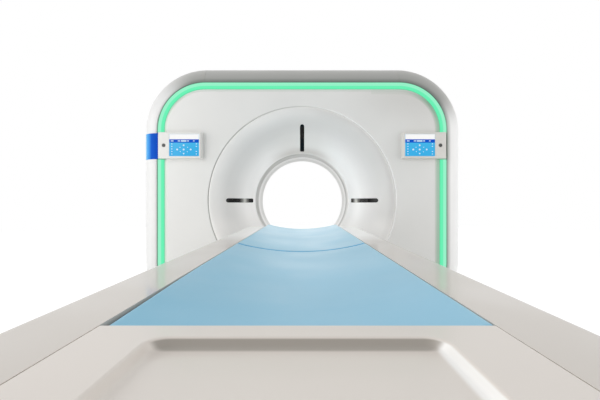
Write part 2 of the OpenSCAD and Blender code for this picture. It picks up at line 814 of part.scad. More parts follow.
// A side rail's section, moved inward by its wall for the hollow
module rail_section(inset) {
  low = rail_bottom - inset;
  translate([rail_in + inset, low]) square([rail_out - rail_in - inset - rail_round, table_z - inset - low]);
  translate([rail_in + inset, low]) square([rail_out - rail_in - 2 * inset, table_z - rail_round - low]);
  translate([rail_out - rail_round, table_z - rail_round]) circle(rail_round - inset);
}

module rail_solid(inset) intersection() {
  along(rail_head, rail_foot - inset) rail_section(inset);
  translate([0, 0, rail_bottom - 10]) linear_extrude(200) table_plan(inset);
}

module right_rail_cover() color(white) difference() {
  rail_solid(0);
  rail_solid(rail_t);
}

module left_rail_cover() mirror([1, 0, 0]) right_rail_cover();

module foot_end_cover() color(white) difference() {
  translate([0, 0, tray_bottom + 5]) linear_extrude(table_z - tray_bottom - 5) foot_plan(0);
  translate([0, 0, tray_bottom + 10]) linear_extrude(table_z - tray_bottom - 15) foot_plan(rail_t);
}

module foot_plan(inset) intersection() {
  translate([0, -rail_foot + 45]) round_plan(rail_out - inset, 100 - inset, 50 - inset);
  translate([-400, -rail_foot - 200]) square([800, 200]);
}

module cradle_ring(outer, inner, hw) intersection() {
  translate([-hw, 700]) square([2 * hw, table_z - 700]);
  difference() {
    translate([0, dip_z]) circle(outer);
    translate([0, dip_z]) circle(inner);
  }
}

module cradle_shell() color(dark) difference() {
  along(cradle_tip, cradle_foot) cradle_ring(cradle_low_r, cradle_top_r, cradle_hw);
  both_sides() translate([holder_x, 1 - cradle_tip, holder_z]) rotate([90, 0, 0]) cylinder(r = holder_r, h = holder_l + 1);
}

module cradle_rails() color("silver") both_sides() along(cradle_tip + 27, rail_foot - 20) intersection() {
  translate([140, 715]) square([25, 80]);
  difference() {
    square([300, 900]);
    translate([0, dip_z]) circle(cradle_low_r);
  }
}

module mattress() color(blue) along(cradle_tip, mattress_foot) cradle_ring(dip_r + mattress_t, dip_r, mattress_hw);

// A hollow with sloping walls and round corners, sunk from the panel's top
module recess() {
  low = table_z - recess_d;
  near = -recess_y1 + recess_r;
  far = -recess_y0 - recess_r;
  side = recess_hw - recess_r;
  across(-side, side) polygon([
    [near - recess_r, table_z + 1], [near - recess_r, table_z], [near - recess_r + recess_run, low],
    [far + recess_r - recess_run, low], [far + recess_r, table_z], [far + recess_r, table_z + 1]
  ]);
  along(-far, -near) polygon([
    [-recess_hw, table_z + 1], [-recess_hw, table_z], [recess_run - recess_hw, low],
    [recess_hw - recess_run, low], [recess_hw, table_z], [recess_hw, table_z + 1]
  ]);
  for (x = [-side, side], y = [near, far]) translate([x, y, low]) {
    cylinder(r1 = recess_r - recess_run, r2 = recess_r, h = recess_d);
    translate([0, 0, recess_d]) cylinder(r = recess_r, h = 1);
  }
}

module foot_panel() color(white) difference() {
  along(mattress_foot + 3, cradle_foot) intersection() {
    translate([-foot_panel_hw, 700]) square([2 * foot_panel_hw, table_z - 700]);
    translate([0, dip_z]) circle(cradle_top_r);
  }
  recess();
}

gantry_base_frame();
gantry_frame();
plinth_cover();
lower_trim();
front_cover();
front_funnel();
front_bore_liner();
scan_window();
rear_bore_liner();
rear_funnel();
rear_cover();
top_cover();
left_side_cover();
right_side_cover();
light_strip();
left_panel_housing();
left_screen();
left_button();
right_panel_housing();
right_screen();
right_button();
side_badge();
laser_windows();
laser_modules();
bearing_outer_ring();
brush_block();
drive_motor();
drive_belt();
rotor_drum();
bearing_inner_ring();
bearing_balls();
slip_ring();
xray_tube();
collimator();
hv_generator();
detector_array();
data_unit();
counterweights();
motor_pulley();
couch_base_frame();
lower_skirt();
middle_skirt();
upper_skirt();
scissor_arm_outer();
scissor_arm_inner();
lower_rollers();
upper_rollers();
lift_actuator_body();
lift_actuator_rod();
upper_frame();
under_tray();
left_rail_cover();
right_rail_cover();
foot_end_cover();
cradle_drive_motor();
cradle_drive_pulley();
cradle_shell();
cradle_rails();
mattress();
foot_panel();
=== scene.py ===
import json
import math

import bmesh
import bpy
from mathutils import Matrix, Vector, geometry, noise

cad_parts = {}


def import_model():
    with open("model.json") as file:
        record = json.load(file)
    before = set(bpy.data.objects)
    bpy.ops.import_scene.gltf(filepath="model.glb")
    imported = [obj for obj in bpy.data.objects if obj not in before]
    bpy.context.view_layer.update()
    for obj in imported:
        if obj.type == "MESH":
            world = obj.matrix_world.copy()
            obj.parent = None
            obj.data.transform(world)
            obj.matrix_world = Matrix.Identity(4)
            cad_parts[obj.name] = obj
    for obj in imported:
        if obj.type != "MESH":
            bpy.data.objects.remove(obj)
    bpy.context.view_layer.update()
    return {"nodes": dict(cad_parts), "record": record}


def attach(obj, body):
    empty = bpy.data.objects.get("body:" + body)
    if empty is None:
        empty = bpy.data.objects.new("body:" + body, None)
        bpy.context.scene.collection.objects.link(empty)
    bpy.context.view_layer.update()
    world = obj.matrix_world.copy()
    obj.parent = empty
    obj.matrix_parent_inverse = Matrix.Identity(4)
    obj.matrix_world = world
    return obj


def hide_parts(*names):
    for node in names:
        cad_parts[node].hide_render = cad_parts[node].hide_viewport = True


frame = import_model()
nodes = frame["nodes"]
record = frame["record"]
scene = bpy.context.scene

# ---------------------------------------------------------------- camera, placed as in the photograph
cam = bpy.data.objects.new("camera", bpy.data.cameras.new("camera"))
scene.collection.objects.link(cam)
cam.location = (0.0065, -3.173, 0.976)
cam.rotation_euler = (math.radians(90), 0, 0)
cam.data.sensor_width = 36.0
cam.data.lens = 22.5
cam.data.shift_x = -3.0 / 600
cam.data.shift_y = 3.6 / 600
cam.data.clip_start = 0.02
cam.data.clip_end = 60
scene.camera = cam

# ---------------------------------------------------------------- values of the form, in metres
ISO = 1.0                       # height of the bore's axis
BORE_R = 0.360                  # radius of the bore
FACE = 0.460                    # the face, forward of the gantry's middle
RIM = 0.245                     # the mouth's inner rim, forward of the middle
LIP = 0.012                     # rounding from the mouth into the bore
SEAM_R, REAR_SEAM_R = 0.677, 0.640                      # where the mouths meet the covers
MOUTH_WALL = 0.007
LINER_T, LINER_FRONT, LINER_BACK = 0.007, 0.225, 0.061  # the bore's liners: wall, front and back edge
SLOT_W, SLOT_IN, SLOT_OUT = 0.032, 0.382, 0.565         # the mouth's slots: width, inner and outer end
HW, UP, DOWN, CORNER = 1.049, 0.856, 0.790, 0.345       # the band's inner outline, from the axis
BAND, WALL = 0.120, 0.006       # the band's radius and wall
STRIP_W = 0.048                 # width of the light guide
STRIP_END = 0.440               # height at which it ends
FLAT, EDGE = -0.074, -0.050     # where the face stops being flat and where it ends, from the outline
FRONT_Y = -0.3                  # what lies before this belongs to the gantry's front
PANEL_Z0, PANEL_Z1 = 1.298, 1.485
PANEL_IN, PANEL_OUT, PANEL_FRONT = 0.715, 1.042, FACE + 0.045
SCREEN_IN, SCREEN_OUT, SCREEN_Z0, SCREEN_Z1 = 0.733, 0.947, 1.313, 1.472
DISPLAY_GAP, DISPLAY_W, DISPLAY_H = 0.002, 0.210, 0.155     # the lit part of each screen
HEADER_H, BAR_H = 0.036, 0.024  # its white header and the blue bar under it
MARK_T = 0.0003                 # thickness of what is shown on it
BUTTON_X, BUTTON_Z, BUTTON_HOLE = 0.985, 1.391, 0.0123
TABLE_Z = 0.827                 # height of the table's rails
DIP_R, DIP_Z = 0.916, 1.711     # the mattress's dip: its radius and the height of its axis
MAT_HW, MAT_T = 0.2424, 0.028   # the mattress's half width and thickness
MAT_HEAD, MAT_FOOT, MAT_SEAM = -0.473, -2.7115, -1.755
MAT_EDGE = 0.0055               # rounding of its edges
MAT_SLACK, MAT_SLACK_Y = 0.0062, -2.30                  # how far its left edge draws in at the foot, and from where
MAT_STEP = 0.011                # distance between the grid lines of its mesh
TRAY_HW, TRAY_FOOT, TRAY_HEAD = 0.2426, -3.195, -2.7135     # the foot panel
DEEP_HW, DEEP_FOOT, DEEP_HEAD, DEEP_R = 0.164, -3.140, -2.754, 0.024    # and the tray sunk into it
FLOOR_R = 14.0                  # the floor's radius
FLOOR_GLOW, FLOOR_SHARE = 1.14, 0.80    # the floor's own white, and its share: the rest keeps the shadow


# ---------------------------------------------------------------- materials
def lin(r, g, b):
    """A display colour from 0 to 255 as a linear one."""
    return tuple(((c / 255 + 0.055) / 1.055) ** 2.4 if c > 10 else c / 255 / 12.92 for c in (r, g, b)) + (1.0,)


WHITE = lin(227, 227, 225)


class Mat:
    """A principled material with object coordinates to hand."""

    def __init__(self, name, color, rough, **sockets):
        self.name = name
        self.material = bpy.data.materials.new(name)
        self.material.use_nodes = True
        self.tree = self.material.node_tree
        self.bsdf = self.tree.nodes["Principled BSDF"]
        self.bsdf.inputs["Base Color"].default_value = color
        self.bsdf.inputs["Roughness"].default_value = rough
        for k, v in sockets.items():
            self.bsdf.inputs[k.replace("_", " ")].default_value = v
        self.color = color
        self.coords = self.node("ShaderNodeTexCoord").outputs["Object"]

    def node(self, kind, **props):
        n = self.tree.nodes.new(kind)
        for k, v in props.items():
            setattr(n, k, v)
        return n

    def link(self, a, b):
        self.tree.links.new(a, b)

    def feed(self, socket, v):
        """Gives a socket a constant or another node's output."""
        if isinstance(v, (int, float, tuple)):
            socket.default_value = v
        else:
            self.link(v, socket)

    def math(self, op, *values):
        n = self.node("ShaderNodeMath", operation=op)
        for i, v in enumerate(values):
            self.feed(n.inputs[i], v)
        return n.outputs[0]

    def length(self, a, b):
        """The length of a vector with these two parts."""
        return self.math("SQRT", self.math("ADD", self.math("MULTIPLY", a, a), self.math("MULTIPLY", b, b)))

    def xyz(self, vector=None):
        n = self.node("ShaderNodeSeparateXYZ")
        self.link(vector or self.coords, n.inputs[0])
        return n.outputs

    def scaled(self, s):
        n = self.node("ShaderNodeMapping")
        n.inputs["Scale"].default_value = s
        self.link(self.coords, n.inputs["Vector"])
        return n.outputs[0]

    def noise(self, scale, detail=2.0, vector=None):
        n = self.node("ShaderNodeTexNoise")
        n.inputs["Scale"].default_value = scale
        n.inputs["Detail"].default_value = detail
        self.link(vector or self.coords, n.inputs["Vector"])
        return n.outputs["Fac"]

    def ramp(self, fac, stops):
        n = self.node("ShaderNodeValToRGB")
        e = n.color_ramp.elements
        while len(e) < len(stops):
            e.new(0.5)
        for i, (p, c) in enumerate(stops):
            e[i].position = p
            e[i].color = c
        self.link(fac, n.inputs["Fac"])
        return n.outputs["Color"]

    def span(self, value, a, b, c=0.0, d=1.0, smooth=True):
        """Maps a to b onto c to d."""
        n = self.node("ShaderNodeMapRange", interpolation_type="SMOOTHSTEP" if smooth else "LINEAR")
        for i, v in enumerate((value, a, b, c, d)):
            self.feed(n.inputs[i], v)
        return n.outputs[0]

    def mix(self, fac, a, b, mode="MIX"):
        n = self.node("ShaderNodeMix", data_type="RGBA", blend_type=mode)
        for i, v in ((0, fac), (6, a), (7, b)):
            self.feed(n.inputs[i], v)
        return n.outputs[2]

    def mottle(self, color=None, amount=0.03, scale=3.0):
        """Slight uneven colour over the surface, light and dark of the given colour or texture."""
        c = color if color is not None else self.color
        f = self.span(self.noise(scale, 3.0), 0.3, 0.7, 1 - amount, 1 + amount * 0.5)
        n = self.node("ShaderNodeVectorMath", operation="SCALE")
        self.feed(n.inputs[0], c[:3] if isinstance(c, tuple) else c)
        self.link(f, n.inputs["Scale"])
        self.link(n.outputs[0], self.bsdf.inputs["Base Color"])

    def wear(self, low, high, scale, detail=4.0, vector=None):
        """Uneven roughness between two values."""
        f = self.noise(scale, detail, vector)
        self.link(self.span(f, 0.3, 0.7, low, high), self.bsdf.inputs["Roughness"])

    def bump(self, height, strength, distance, over=None):
        n = self.node("ShaderNodeBump")
        n.inputs["Strength"].default_value = strength
        n.inputs["Distance"].default_value = distance
        self.link(height, n.inputs["Height"])
        if over is not None:
            self.link(over, n.inputs["Normal"])
        self.link(n.outputs[0], self.bsdf.inputs["Normal"])
        return n.outputs[0]

    def shine(self, color, strength):
        """Makes the surface glow by itself."""
        self.link(color, self.bsdf.inputs["Emission Color"])
        self.bsdf.inputs["Emission Strength"].default_value = strength


def moulded(name, color, rough, peel=40.0, amount=0.02, **sockets):
    """Painted or moulded plastic: a fine grain, a faint orange peel and a little uneven gloss."""
    m = Mat(name, color, rough, **sockets)
    m.mottle(amount=amount)
    m.wear(rough - 0.05, rough + 0.06, 6.0, 4.0 if peel else 0.0)
    if peel:
        first = m.bump(m.noise(peel, 2.0), 0.06, 0.0015)
        m.bump(m.noise(900.0, 3.0), 0.05, 0.0003, over=first)
    else:
        m.bump(m.noise(260, 1.0), 0.03, 0.0002)
    return m


def powder(name, color, rough, metallic=0.0):
    """Powder paint, rubber or cast iron: an even fine grain."""
    m = Mat(name, color, rough, Metallic=metallic)
    m.mottle(amount=0.06, scale=5)
    m.wear(rough - 0.08, rough + 0.1, 14.0)
    m.bump(m.noise(420, 3.0), 0.25, 0.0004)
    return m


def brushed(name, color, rough, along=(4, 400, 400)):
    """Bare metal with fine marks along one direction."""
    m = Mat(name, color, rough, Metallic=1.0)
    v = m.scaled(along)
    m.mottle(amount=0.08, scale=8)
    m.wear(rough - 0.08, rough + 0.12, 1.0, 3.0, v)
    m.bump(m.noise(1.0, 3.0, v), 0.2, 0.0003)
    return m


def outline_distance(m):
    """Distance outward from the strip's outer edge, worked out from the position on the gantry's front."""
    x, _, z = m.xyz()
    rise = m.math("ABSOLUTE", m.math("SUBTRACT", z, ISO + (UP - DOWN) / 2))
    qx = m.math("SUBTRACT", m.math("ABSOLUTE", x), HW - CORNER)
    qz = m.math("SUBTRACT", rise, (UP + DOWN) / 2 - CORNER)
    far = m.length(m.math("MAXIMUM", qx, 0.0), m.math("MAXIMUM", qz, 0.0))
    near = m.math("MINIMUM", m.math("MAXIMUM", qx, qz), 0.0)
    return m.math("SUBTRACT", m.math("ADD", far, near), CORNER)


def axis_distance(m):
    """Distance from the bore's axis."""
    x, _, z = m.xyz()
    return m.length(x, m.math("SUBTRACT", z, ISO))


def cover_white():
    m = moulded("cover_white", WHITE, 0.36)
    x, y, z = m.xyz()
    out = outline_distance(m)
    front = m.math("LESS_THAN", y, FRONT_Y)
    # painted shade: the face is a little darker at its upper right
    corner = m.math("MULTIPLY", m.span(x, 0.15, 0.85), m.span(z, 1.45, 1.75))
    plain = m.mix(m.math("MULTIPLY", corner, front), WHITE, lin(213, 212, 209))
    # painted glow of the strip and painted shade on the eased edge beside it, wider on the right
    inward = m.math("ADD", out, m.math("MULTIPLY", m.math("GREATER_THAN", x, 0.5), 0.018))
    painted_strip_glow = m.ramp(m.span(inward, FLAT, EDGE, smooth=False), [
        (0.0, lin(255, 255, 255)), (0.3, lin(230, 237, 230)), (1.0, lin(180, 213, 194))])
    beside = m.math("MULTIPLY", m.span(z, 1.82, 1.70), m.math("LESS_THAN", out, EDGE + 0.005))
    face = m.mix(m.math("MULTIPLY", front, beside), plain, painted_strip_glow, "MULTIPLY")
    # painted shade and painted highlight on the rounding at the mouth's seam: dark on the left and bright on the
    # right
    seam = m.math("MULTIPLY", front, m.span(axis_distance(m), SEAM_R + 0.0085, SEAM_R + 0.0060))
    rounding = m.ramp(m.span(x, -0.60, 0.60, smooth=False), [
        (0.0, lin(190, 190, 188)), (0.5, lin(222, 222, 220)), (0.75, lin(252, 252, 251)), (1.0, lin(255, 255, 255))])
    m.mottle(m.mix(seam, face, rounding), 0.02)
    return m


def table_white():
    m = moulded("table_white", lin(212, 205, 198), 0.34, peel=0, Coat_Weight=0.45, Coat_Roughness=0.06)
    _, y, z = m.xyz()
    # painted light: the rails' top grows lighter towards the head end, near white by the gantry; below the top it is
    # a darker grey
    top = m.ramp(m.span(y, -2.5, -0.85, smooth=False), [
        (0.0, lin(207, 200, 192)), (0.5, lin(217, 212, 207)), (0.66, lin(253, 252, 250)), (1.0, lin(255, 255, 253))])
    m.mottle(m.mix(m.span(z, TABLE_Z - 0.020, TABLE_Z - 0.004), lin(196, 192, 187), top), 0.01)
    return m


def band_silver():
    m = moulded("band_silver", lin(200, 200, 200), 0.4, amount=0.015)
    x, y, z = m.xyz()
    u = m.span(outline_distance(m), 0.0, BAND, smooth=False)
    # painted light and shade: the band is greyer next to the strip and over the top, lighter on its sides, and its
    # right side is toned apart from its left as the light falls
    left = m.ramp(u, [
        (0.0, lin(140, 156, 146)), (0.02, lin(176, 180, 177)), (0.07, lin(210, 210, 210)),
        (0.18, lin(221, 221, 221)), (1.0, lin(218, 218, 218))])
    right = m.ramp(u, [
        (0.0, lin(150, 164, 154)), (0.06, lin(190, 192, 190)), (0.24, lin(244, 244, 243)),
        (0.55, lin(250, 250, 250)), (1.0, lin(252, 252, 252))])
    top = m.ramp(u, [
        (0.0, lin(104, 110, 105)), (0.25, lin(162, 163, 160)), (0.7, lin(185, 185, 182)), (1.0, lin(204, 204, 202))])
    # round each top corner the painted tone turns from the side's light to the top's shade
    px = m.math("MAXIMUM", m.math("SUBTRACT", m.math("ABSOLUTE", x), HW - CORNER), 0.0001)
    pz = m.math("MAXIMUM", m.math("SUBTRACT", z, ISO + UP - CORNER), 0.0)
    start = m.span(x, -0.3, 0.3, math.radians(34), math.radians(1))
    stop = m.span(x, -0.3, 0.3, math.radians(78), math.radians(40))
    turn = m.span(m.math("ARCTAN2", pz, px), start, stop)
    painted_band_shading = m.mix(turn, m.mix(m.span(x, -0.3, 0.3), left, right), top)
    m.mottle(m.mix(m.span(y, -0.37, -0.29), painted_band_shading, lin(206, 206, 205)), 0.015, 2.5)
    return m


def light_guide():
    m = Mat("light_guide", lin(30, 74, 56), 0.4, Specular_IOR_Level=0.2)
    # the glow is darker at both edges; at the outer edge this is painted shade of the gap beside the band
    m.shine(m.ramp(m.span(outline_distance(m), -STRIP_W, 0.0, smooth=False), [
        (0.0, lin(90, 210, 158)), (0.05, lin(102, 242, 180)), (0.42, lin(104, 243, 182)),
        (0.52, lin(152, 244, 203)), (0.94, lin(154, 244, 203)), (1.0, lin(86, 176, 138))]), 0.9)
    m.wear(0.34, 0.46, 20)
    m.bump(m.noise(300, 2), 0.1, 0.0005)
    return m


def scan_film():
    m = Mat("scan_film", lin(242, 242, 240), 0.3)
    m.mottle(amount=0.02)
    m.bump(m.noise(500, 2), 0.05, 0.0003)
    return m


def screen_glass():
    m = Mat("screen_glass", lin(4, 24, 40), 0.12, Specular_IOR_Level=0.2)
    m.shine(m.ramp(m.span(m.xyz()[2], 1.315, 1.44, smooth=False), [
        (0.0, lin(52, 178, 236)), (1.0, lin(64, 188, 240))]), 0.9)
    m.wear(0.08, 0.16, 12)
    return m


def badge_blue():
    m = Mat("badge_blue", lin(14, 88, 196), 0.35, Specular_IOR_Level=0.04)
    # painted highlight: lighter where the badge turns round the shoulder towards the side
    m.mottle(m.ramp(m.span(m.math("ABSOLUTE", m.xyz()[0]), 1.026, 1.16, smooth=False), [
        (0.0, lin(10, 80, 190)), (0.50, lin(12, 84, 192)), (0.62, lin(52, 130, 208)),
        (0.80, lin(84, 164, 226)), (0.92, lin(150, 196, 226)), (1.0, lin(190, 200, 210))]), 0.04, 8)
    m.wear(0.26, 0.36, 10)
    return m


def slot_window():
    """Dark glass, with a painted reflection of the mouth as a pale place in the two level slots."""
    dark, dim, pale = lin(9, 9, 10), lin(120, 120, 117), lin(226, 226, 220)
    m = Mat("slot_window", dark, 0.12, Specular_IOR_Level=0.2)
    x, _, z = m.xyz()
    level = m.math("LESS_THAN", m.math("ABSOLUTE", m.math("SUBTRACT", z, ISO)), 0.05)
    # painted reflection: pale across the middle of each level slot's length
    along = m.math("ADD", axis_distance(m), m.math("MULTIPLY", x, 0.03))
    mirrored = m.ramp(m.span(along, 0.400, 0.464, smooth=False), [
        (0.0, dark), (0.25, dim), (0.5, pale), (0.75, dim), (1.0, dark)])
    m.mottle(m.mix(level, dark, mirrored), 0.2, 30)
    m.wear(0.06, 0.14, 20)
    return m


def cradle_carbon():
    m = Mat("cradle_carbon", lin(34, 34, 37), 0.3, Coat_Weight=0.4)
    x, y, _ = m.xyz(m.scaled((260, 260, 260)))
    twill = m.math("SINE", m.math("ADD", x, y))
    m.mottle(m.mix(m.span(twill, -0.4, 0.4), lin(26, 26, 29), lin(46, 46, 50)), 0.05, 6)
    m.bump(twill, 0.12, 0.0003)
    return m


def mattress_blue():
    m = Mat("mattress_blue", lin(134, 188, 211), 0.42,
            Sheen_Weight=0.35, Sheen_Roughness=0.4, Sheen_Tint=(0.8, 0.92, 1.0, 1.0))
    x, y, _ = m.xyz()
    # painted light: a highlight along the left edge, lighter towards the head end, and lighter towards the right
    # side
    painted_edge_highlight = m.ramp(m.span(x, -MAT_HW, 0.0044 - MAT_HW), [
        (0.0, lin(222, 240, 248)), (0.55, lin(205, 230, 242)), (1.0, lin(152, 204, 227))])
    far = m.ramp(m.span(y, -2.6, -0.8, smooth=False), [
        (0.0, lin(232, 244, 250)), (0.4, lin(236, 245, 249)), (1.0, lin(255, 255, 255))])
    across = m.ramp(m.span(x, -0.2, 0.2, smooth=False), [(0.0, lin(230, 246, 249)), (1.0, lin(255, 255, 255))])
    m.mottle(m.mix(1.0, m.mix(1.0, painted_edge_highlight, far, "MULTIPLY"), across, "MULTIPLY"), 0.035, 2.2)
    m.wear(0.36, 0.48, 5)
    cells = m.node("ShaderNodeTexVoronoi")
    cells.inputs["Scale"].default_value = 700
    m.link(m.coords, cells.inputs["Vector"])
    m.bump(cells.outputs["Distance"], 0.14, 0.0004, over=m.bump(m.noise(9, 2), 0.12, 0.004))
    return m


def mouth_white():
    m = moulded("mouth_white", lin(240, 240, 238), 0.36)
    x, _, z = m.xyz()
    out = m.span(axis_distance(m), BORE_R, SEAM_R, smooth=False)
    # painted light and shade by radius, one tone for the left and one for the right: each is brightest just outside
    # the lip and darker further out, the left also darker at the lip itself
    left = m.ramp(out, [
        (0.0, lin(196, 194, 191)), (0.012, lin(214, 212, 209)), (0.022, lin(253, 251, 249)),
        (0.25, lin(252, 250, 248)), (0.50, lin(232, 231, 229)), (0.63, lin(228, 227, 225)),
        (0.85, lin(237, 236, 234)), (1.0, lin(232, 232, 230))])
    right = m.ramp(out, [
        (0.0, lin(240, 239, 236)), (0.012, lin(255, 255, 254)), (0.25, lin(255, 255, 254)),
        (0.44, lin(241, 240, 239)), (0.57, lin(230, 229, 228)), (0.70, lin(223, 222, 220)),
        (0.96, lin(216, 215, 213)), (1.0, lin(230, 229, 227))])
    shade = m.ramp(out, [
        (0.0, lin(228, 227, 225)), (0.03, lin(222, 221, 219)), (0.045, lin(214, 212, 209)),
        (0.08, lin(214, 212, 209)), (0.19, lin(238, 237, 235)), (0.45, lin(251, 251, 250)),
        (1.0, lin(255, 255, 255))])
    # painted light over the bottom, and painted shade in a ring round the top between the slots' ends and the rim
    low = m.math("MULTIPLY", m.span(z, ISO - 0.08, ISO - 0.22), 0.6)
    tone = m.mix(low, m.mix(m.span(x, -0.25, 0.25), left, right), lin(247, 246, 244))
    painted_top_shade = m.math("MULTIPLY", m.span(m.math("ABSOLUTE", x), 0.32, 0.08), m.math("GREATER_THAN", z, ISO))
    m.mottle(m.mix(painted_top_shade, tone, shade, "MULTIPLY"), 0.015)
    return m


def liner_grey():
    m = moulded("liner_grey", lin(174, 173, 170), 0.4)
    x, y, z = m.xyz()
    deep = m.span(y, 0.0005 - LINER_FRONT, -LINER_BACK, smooth=False)
    # painted light and shade: on the left the liner is dark at the front and lighter further in, on the right bright
    # at the front and dark further in, and the upper left is a middle grey
    left = m.ramp(deep, [(0.0, lin(167, 166, 163)), (0.64, lin(167, 166, 163)), (0.84, lin(206, 205, 202)),
                         (1.0, lin(206, 205, 202))])
    right = m.ramp(deep, [(0.0, lin(240, 239, 237)), (0.30, lin(214, 213, 210)), (0.60, lin(172, 171, 168)),
                          (1.0, lin(170, 169, 166))])
    left = m.mix(m.span(z, ISO + 0.15, ISO + 0.33), left, lin(188, 187, 183))
    m.mottle(m.mix(m.span(x, 0.08, 0.30), left, right), 0.02)
    return m


def panel_white():
    m = moulded("panel_white", lin(217, 216, 211), 0.36)
    # painted shade: the right panel a little darker than the left
    right = m.math("GREATER_THAN", m.xyz()[0], 0.0)
    m.mottle(m.mix(right, lin(226, 225, 222), lin(219, 217, 212)), 0.02)
    return m


def tray_white():
    """The table's white, with painted shade on the tray's far wall and a painted highlight on its right one."""
    m = moulded("tray_white", lin(226, 219, 212), 0.34, peel=0, Coat_Weight=0.2, Coat_Roughness=0.12)
    x, y, z = m.xyz()
    sunk = m.span(z, TABLE_Z - 0.0010, TABLE_Z - 0.0030)
    painted_shade_far_wall = m.math("MULTIPLY", sunk, m.span(y, DEEP_HEAD - 0.014, DEEP_HEAD - 0.006))
    painted_highlight_right_wall = m.math("MULTIPLY", sunk, m.span(x, DEEP_HW - 0.014, DEEP_HW - 0.007))
    tone = m.mix(painted_highlight_right_wall, lin(226, 219, 212), lin(248, 247, 245))
    m.mottle(m.mix(painted_shade_far_wall, tone, lin(172, 166, 158)), 0.01)
    return m


def piping_blue():
    m = Mat("piping_blue", lin(112, 184, 226), 0.45)
    m.mottle(amount=0.05, scale=40)
    m.bump(m.math("SINE", m.math("MULTIPLY", m.xyz()[0], 1400.0)), 0.3, 0.0004)
    return m


def display(name, color, strength):
    """A lit mark on a screen."""
    m = Mat(name, tuple(c * 0.04 for c in color[:3]) + (1.0,), 0.2, Specular_IOR_Level=0.1)
    bright = tuple(min(1, c * 1.06) for c in color[:3]) + (1.0,)
    m.shine(m.mix(m.noise(60, 2), color, bright), strength)
    return m


MATS = {m.name: m.material for m in (
    cover_white(), table_white(), band_silver(), light_guide(), scan_film(), screen_glass(), badge_blue(),
    slot_window(), cradle_carbon(), mattress_blue(), mouth_white(), liner_grey(), panel_white(), tray_white(),
    piping_blue(),
    moulded("button_grey", lin(66, 66, 64), 0.4),
    moulded("groove_white", lin(206, 208, 205), 0.4),
    moulded("button_ring", lin(205, 204, 200), 0.25),
    powder("housing_black", lin(48, 49, 52), 0.45),
    powder("frame_paint", lin(120, 126, 134), 0.5),
    powder("detector_black", lin(62, 64, 68), 0.4, 0.4),
    powder("weight_iron", lin(70, 70, 72), 0.62, 0.6),
    powder("belt_rubber", lin(34, 34, 35), 0.75),
    powder("arm_paint", lin(196, 198, 200), 0.42),
    brushed("bearing_steel", lin(205, 207, 210), 0.26),
    brushed("cast_aluminium", lin(212, 213, 215), 0.42, (60, 60, 60)),
    brushed("contact_brass", lin(214, 178, 104), 0.28),
    display("display_white", lin(246, 246, 246), 0.95),
    display("display_bar", lin(4, 82, 200), 0.9),
    display("display_mark", lin(206, 233, 248), 0.9),
)}

for part in record["subparts"]:
    slots = nodes[part["node"]].data.materials
    slots.clear()
    slots.append(MATS[part["material_slot"]])


# ---------------------------------------------------------------- objects and modifiers
def smooth(me, angle=None):
    """Smooth shading, with edges sharper than the angle left hard."""
    for p in me.polygons:
        p.use_smooth = True
    if angle:
        me.set_sharp_from_angle(angle=math.radians(angle))


def mesh_object(name, bm):
    """Uses up a bmesh for a new object."""
    me = bpy.data.meshes.new(name)
    bm.to_mesh(me)
    bm.free()
    ob = bpy.data.objects.new(name, me)
    scene.collection.objects.link(ob)
    return ob


def closed_object(name, bm):
    """Uses up a bmesh for a new object whose faces all look outward."""
    bmesh.ops.recalc_face_normals(bm, faces=bm.faces)
    return mesh_object(name, bm)


def piece(name, bm, body, slot, mat=None, angle=35, replaced=()):
    """Turns a bmesh into a smooth-shaded piece that rides on a body."""
    ob = closed_object(name, bm)
    smooth(ob.data, angle)
    ob.data.materials.append(MATS[mat or slot])
    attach(ob, body)
    if replaced:
        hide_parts(*replaced)
    return ob


def flat_shaded(ob):
    """Lets the large flat faces rule the shading, so that rounded edges don't bend it."""
    mod = ob.modifiers.new("weighted", "WEIGHTED_NORMAL")
    mod.weight = 80
    mod.keep_sharp = True


def apply_modifiers(ob):
    """Puts what the modifiers make of the mesh in its place."""
    dg = bpy.context.evaluated_depsgraph_get()
    me = bpy.data.meshes.new_from_object(ob.evaluated_get(dg))
    ob.modifiers.clear()
    ob.data = me


def cut(ob, cutters, angle=35):
    """Takes the cutters out of the piece and then removes them."""
    for c in cutters:
        mod = ob.modifiers.new("cut", "BOOLEAN")
        mod.object = c
        mod.solver = "EXACT"
    apply_modifiers(ob)
    smooth(ob.data, angle)
    for c in cutters:
        me = c.data
        bpy.data.objects.remove(c)
        bpy.data.meshes.remove(me)


# ---------------------------------------------------------------- mesh helpers
def unit(v):
    """Keeps a value between 0 and 1."""
    return min(max(v, 0), 1)


def dip(x, below=0.0):
    """The height of the mattress's dip across the table, or of the surface that lies below it."""
    return DIP_Z - math.sqrt((DIP_R + below) ** 2 - x * x)


def turns(n):
    """The angles of n places round a circle."""
    return [2 * math.pi * i / n for i in range(n)]


def arc(cx, cy, r, a0, a1, n):
    """Points on a circle from one angle to another, in degrees."""
    return [(cx + r * math.cos(math.radians(a0 + (a1 - a0) * i / n)),
             cy + r * math.sin(math.radians(a0 + (a1 - a0) * i / n))) for i in range(n + 1)]


def round_loop(x0, x1, y0, y1, r, n=10):
    """A rectangle with rounded corners."""
    pts = []
    for cx, cy, a in ((x1 - r, y1 - r, 0), (x0 + r, y1 - r, 90), (x0 + r, y0 + r, 180), (x1 - r, y0 + r, 270)):
        pts += arc(cx, cy, r, a, a + 90, n)
    return pts


def circle(bm, x, z, r, y, n):
    """A circle of vertices that faces forward."""
    return [bm.verts.new((x + r * math.cos(t), y, z + r * math.sin(t))) for t in turns(n)]


def skin(bm, rings, closed_along=False, closed_round=True):
    """Quads between successive rings of vertices."""
    n = len(rings[0])
    pairs = list(zip(rings, rings[1:])) + ([(rings[-1], rings[0])] if closed_along else [])
    for a, b in pairs:
        for i in range(n if closed_round else n - 1):
            j = (i + 1) % n
            bm.faces.new((a[i], a[j], b[j], b[i]))


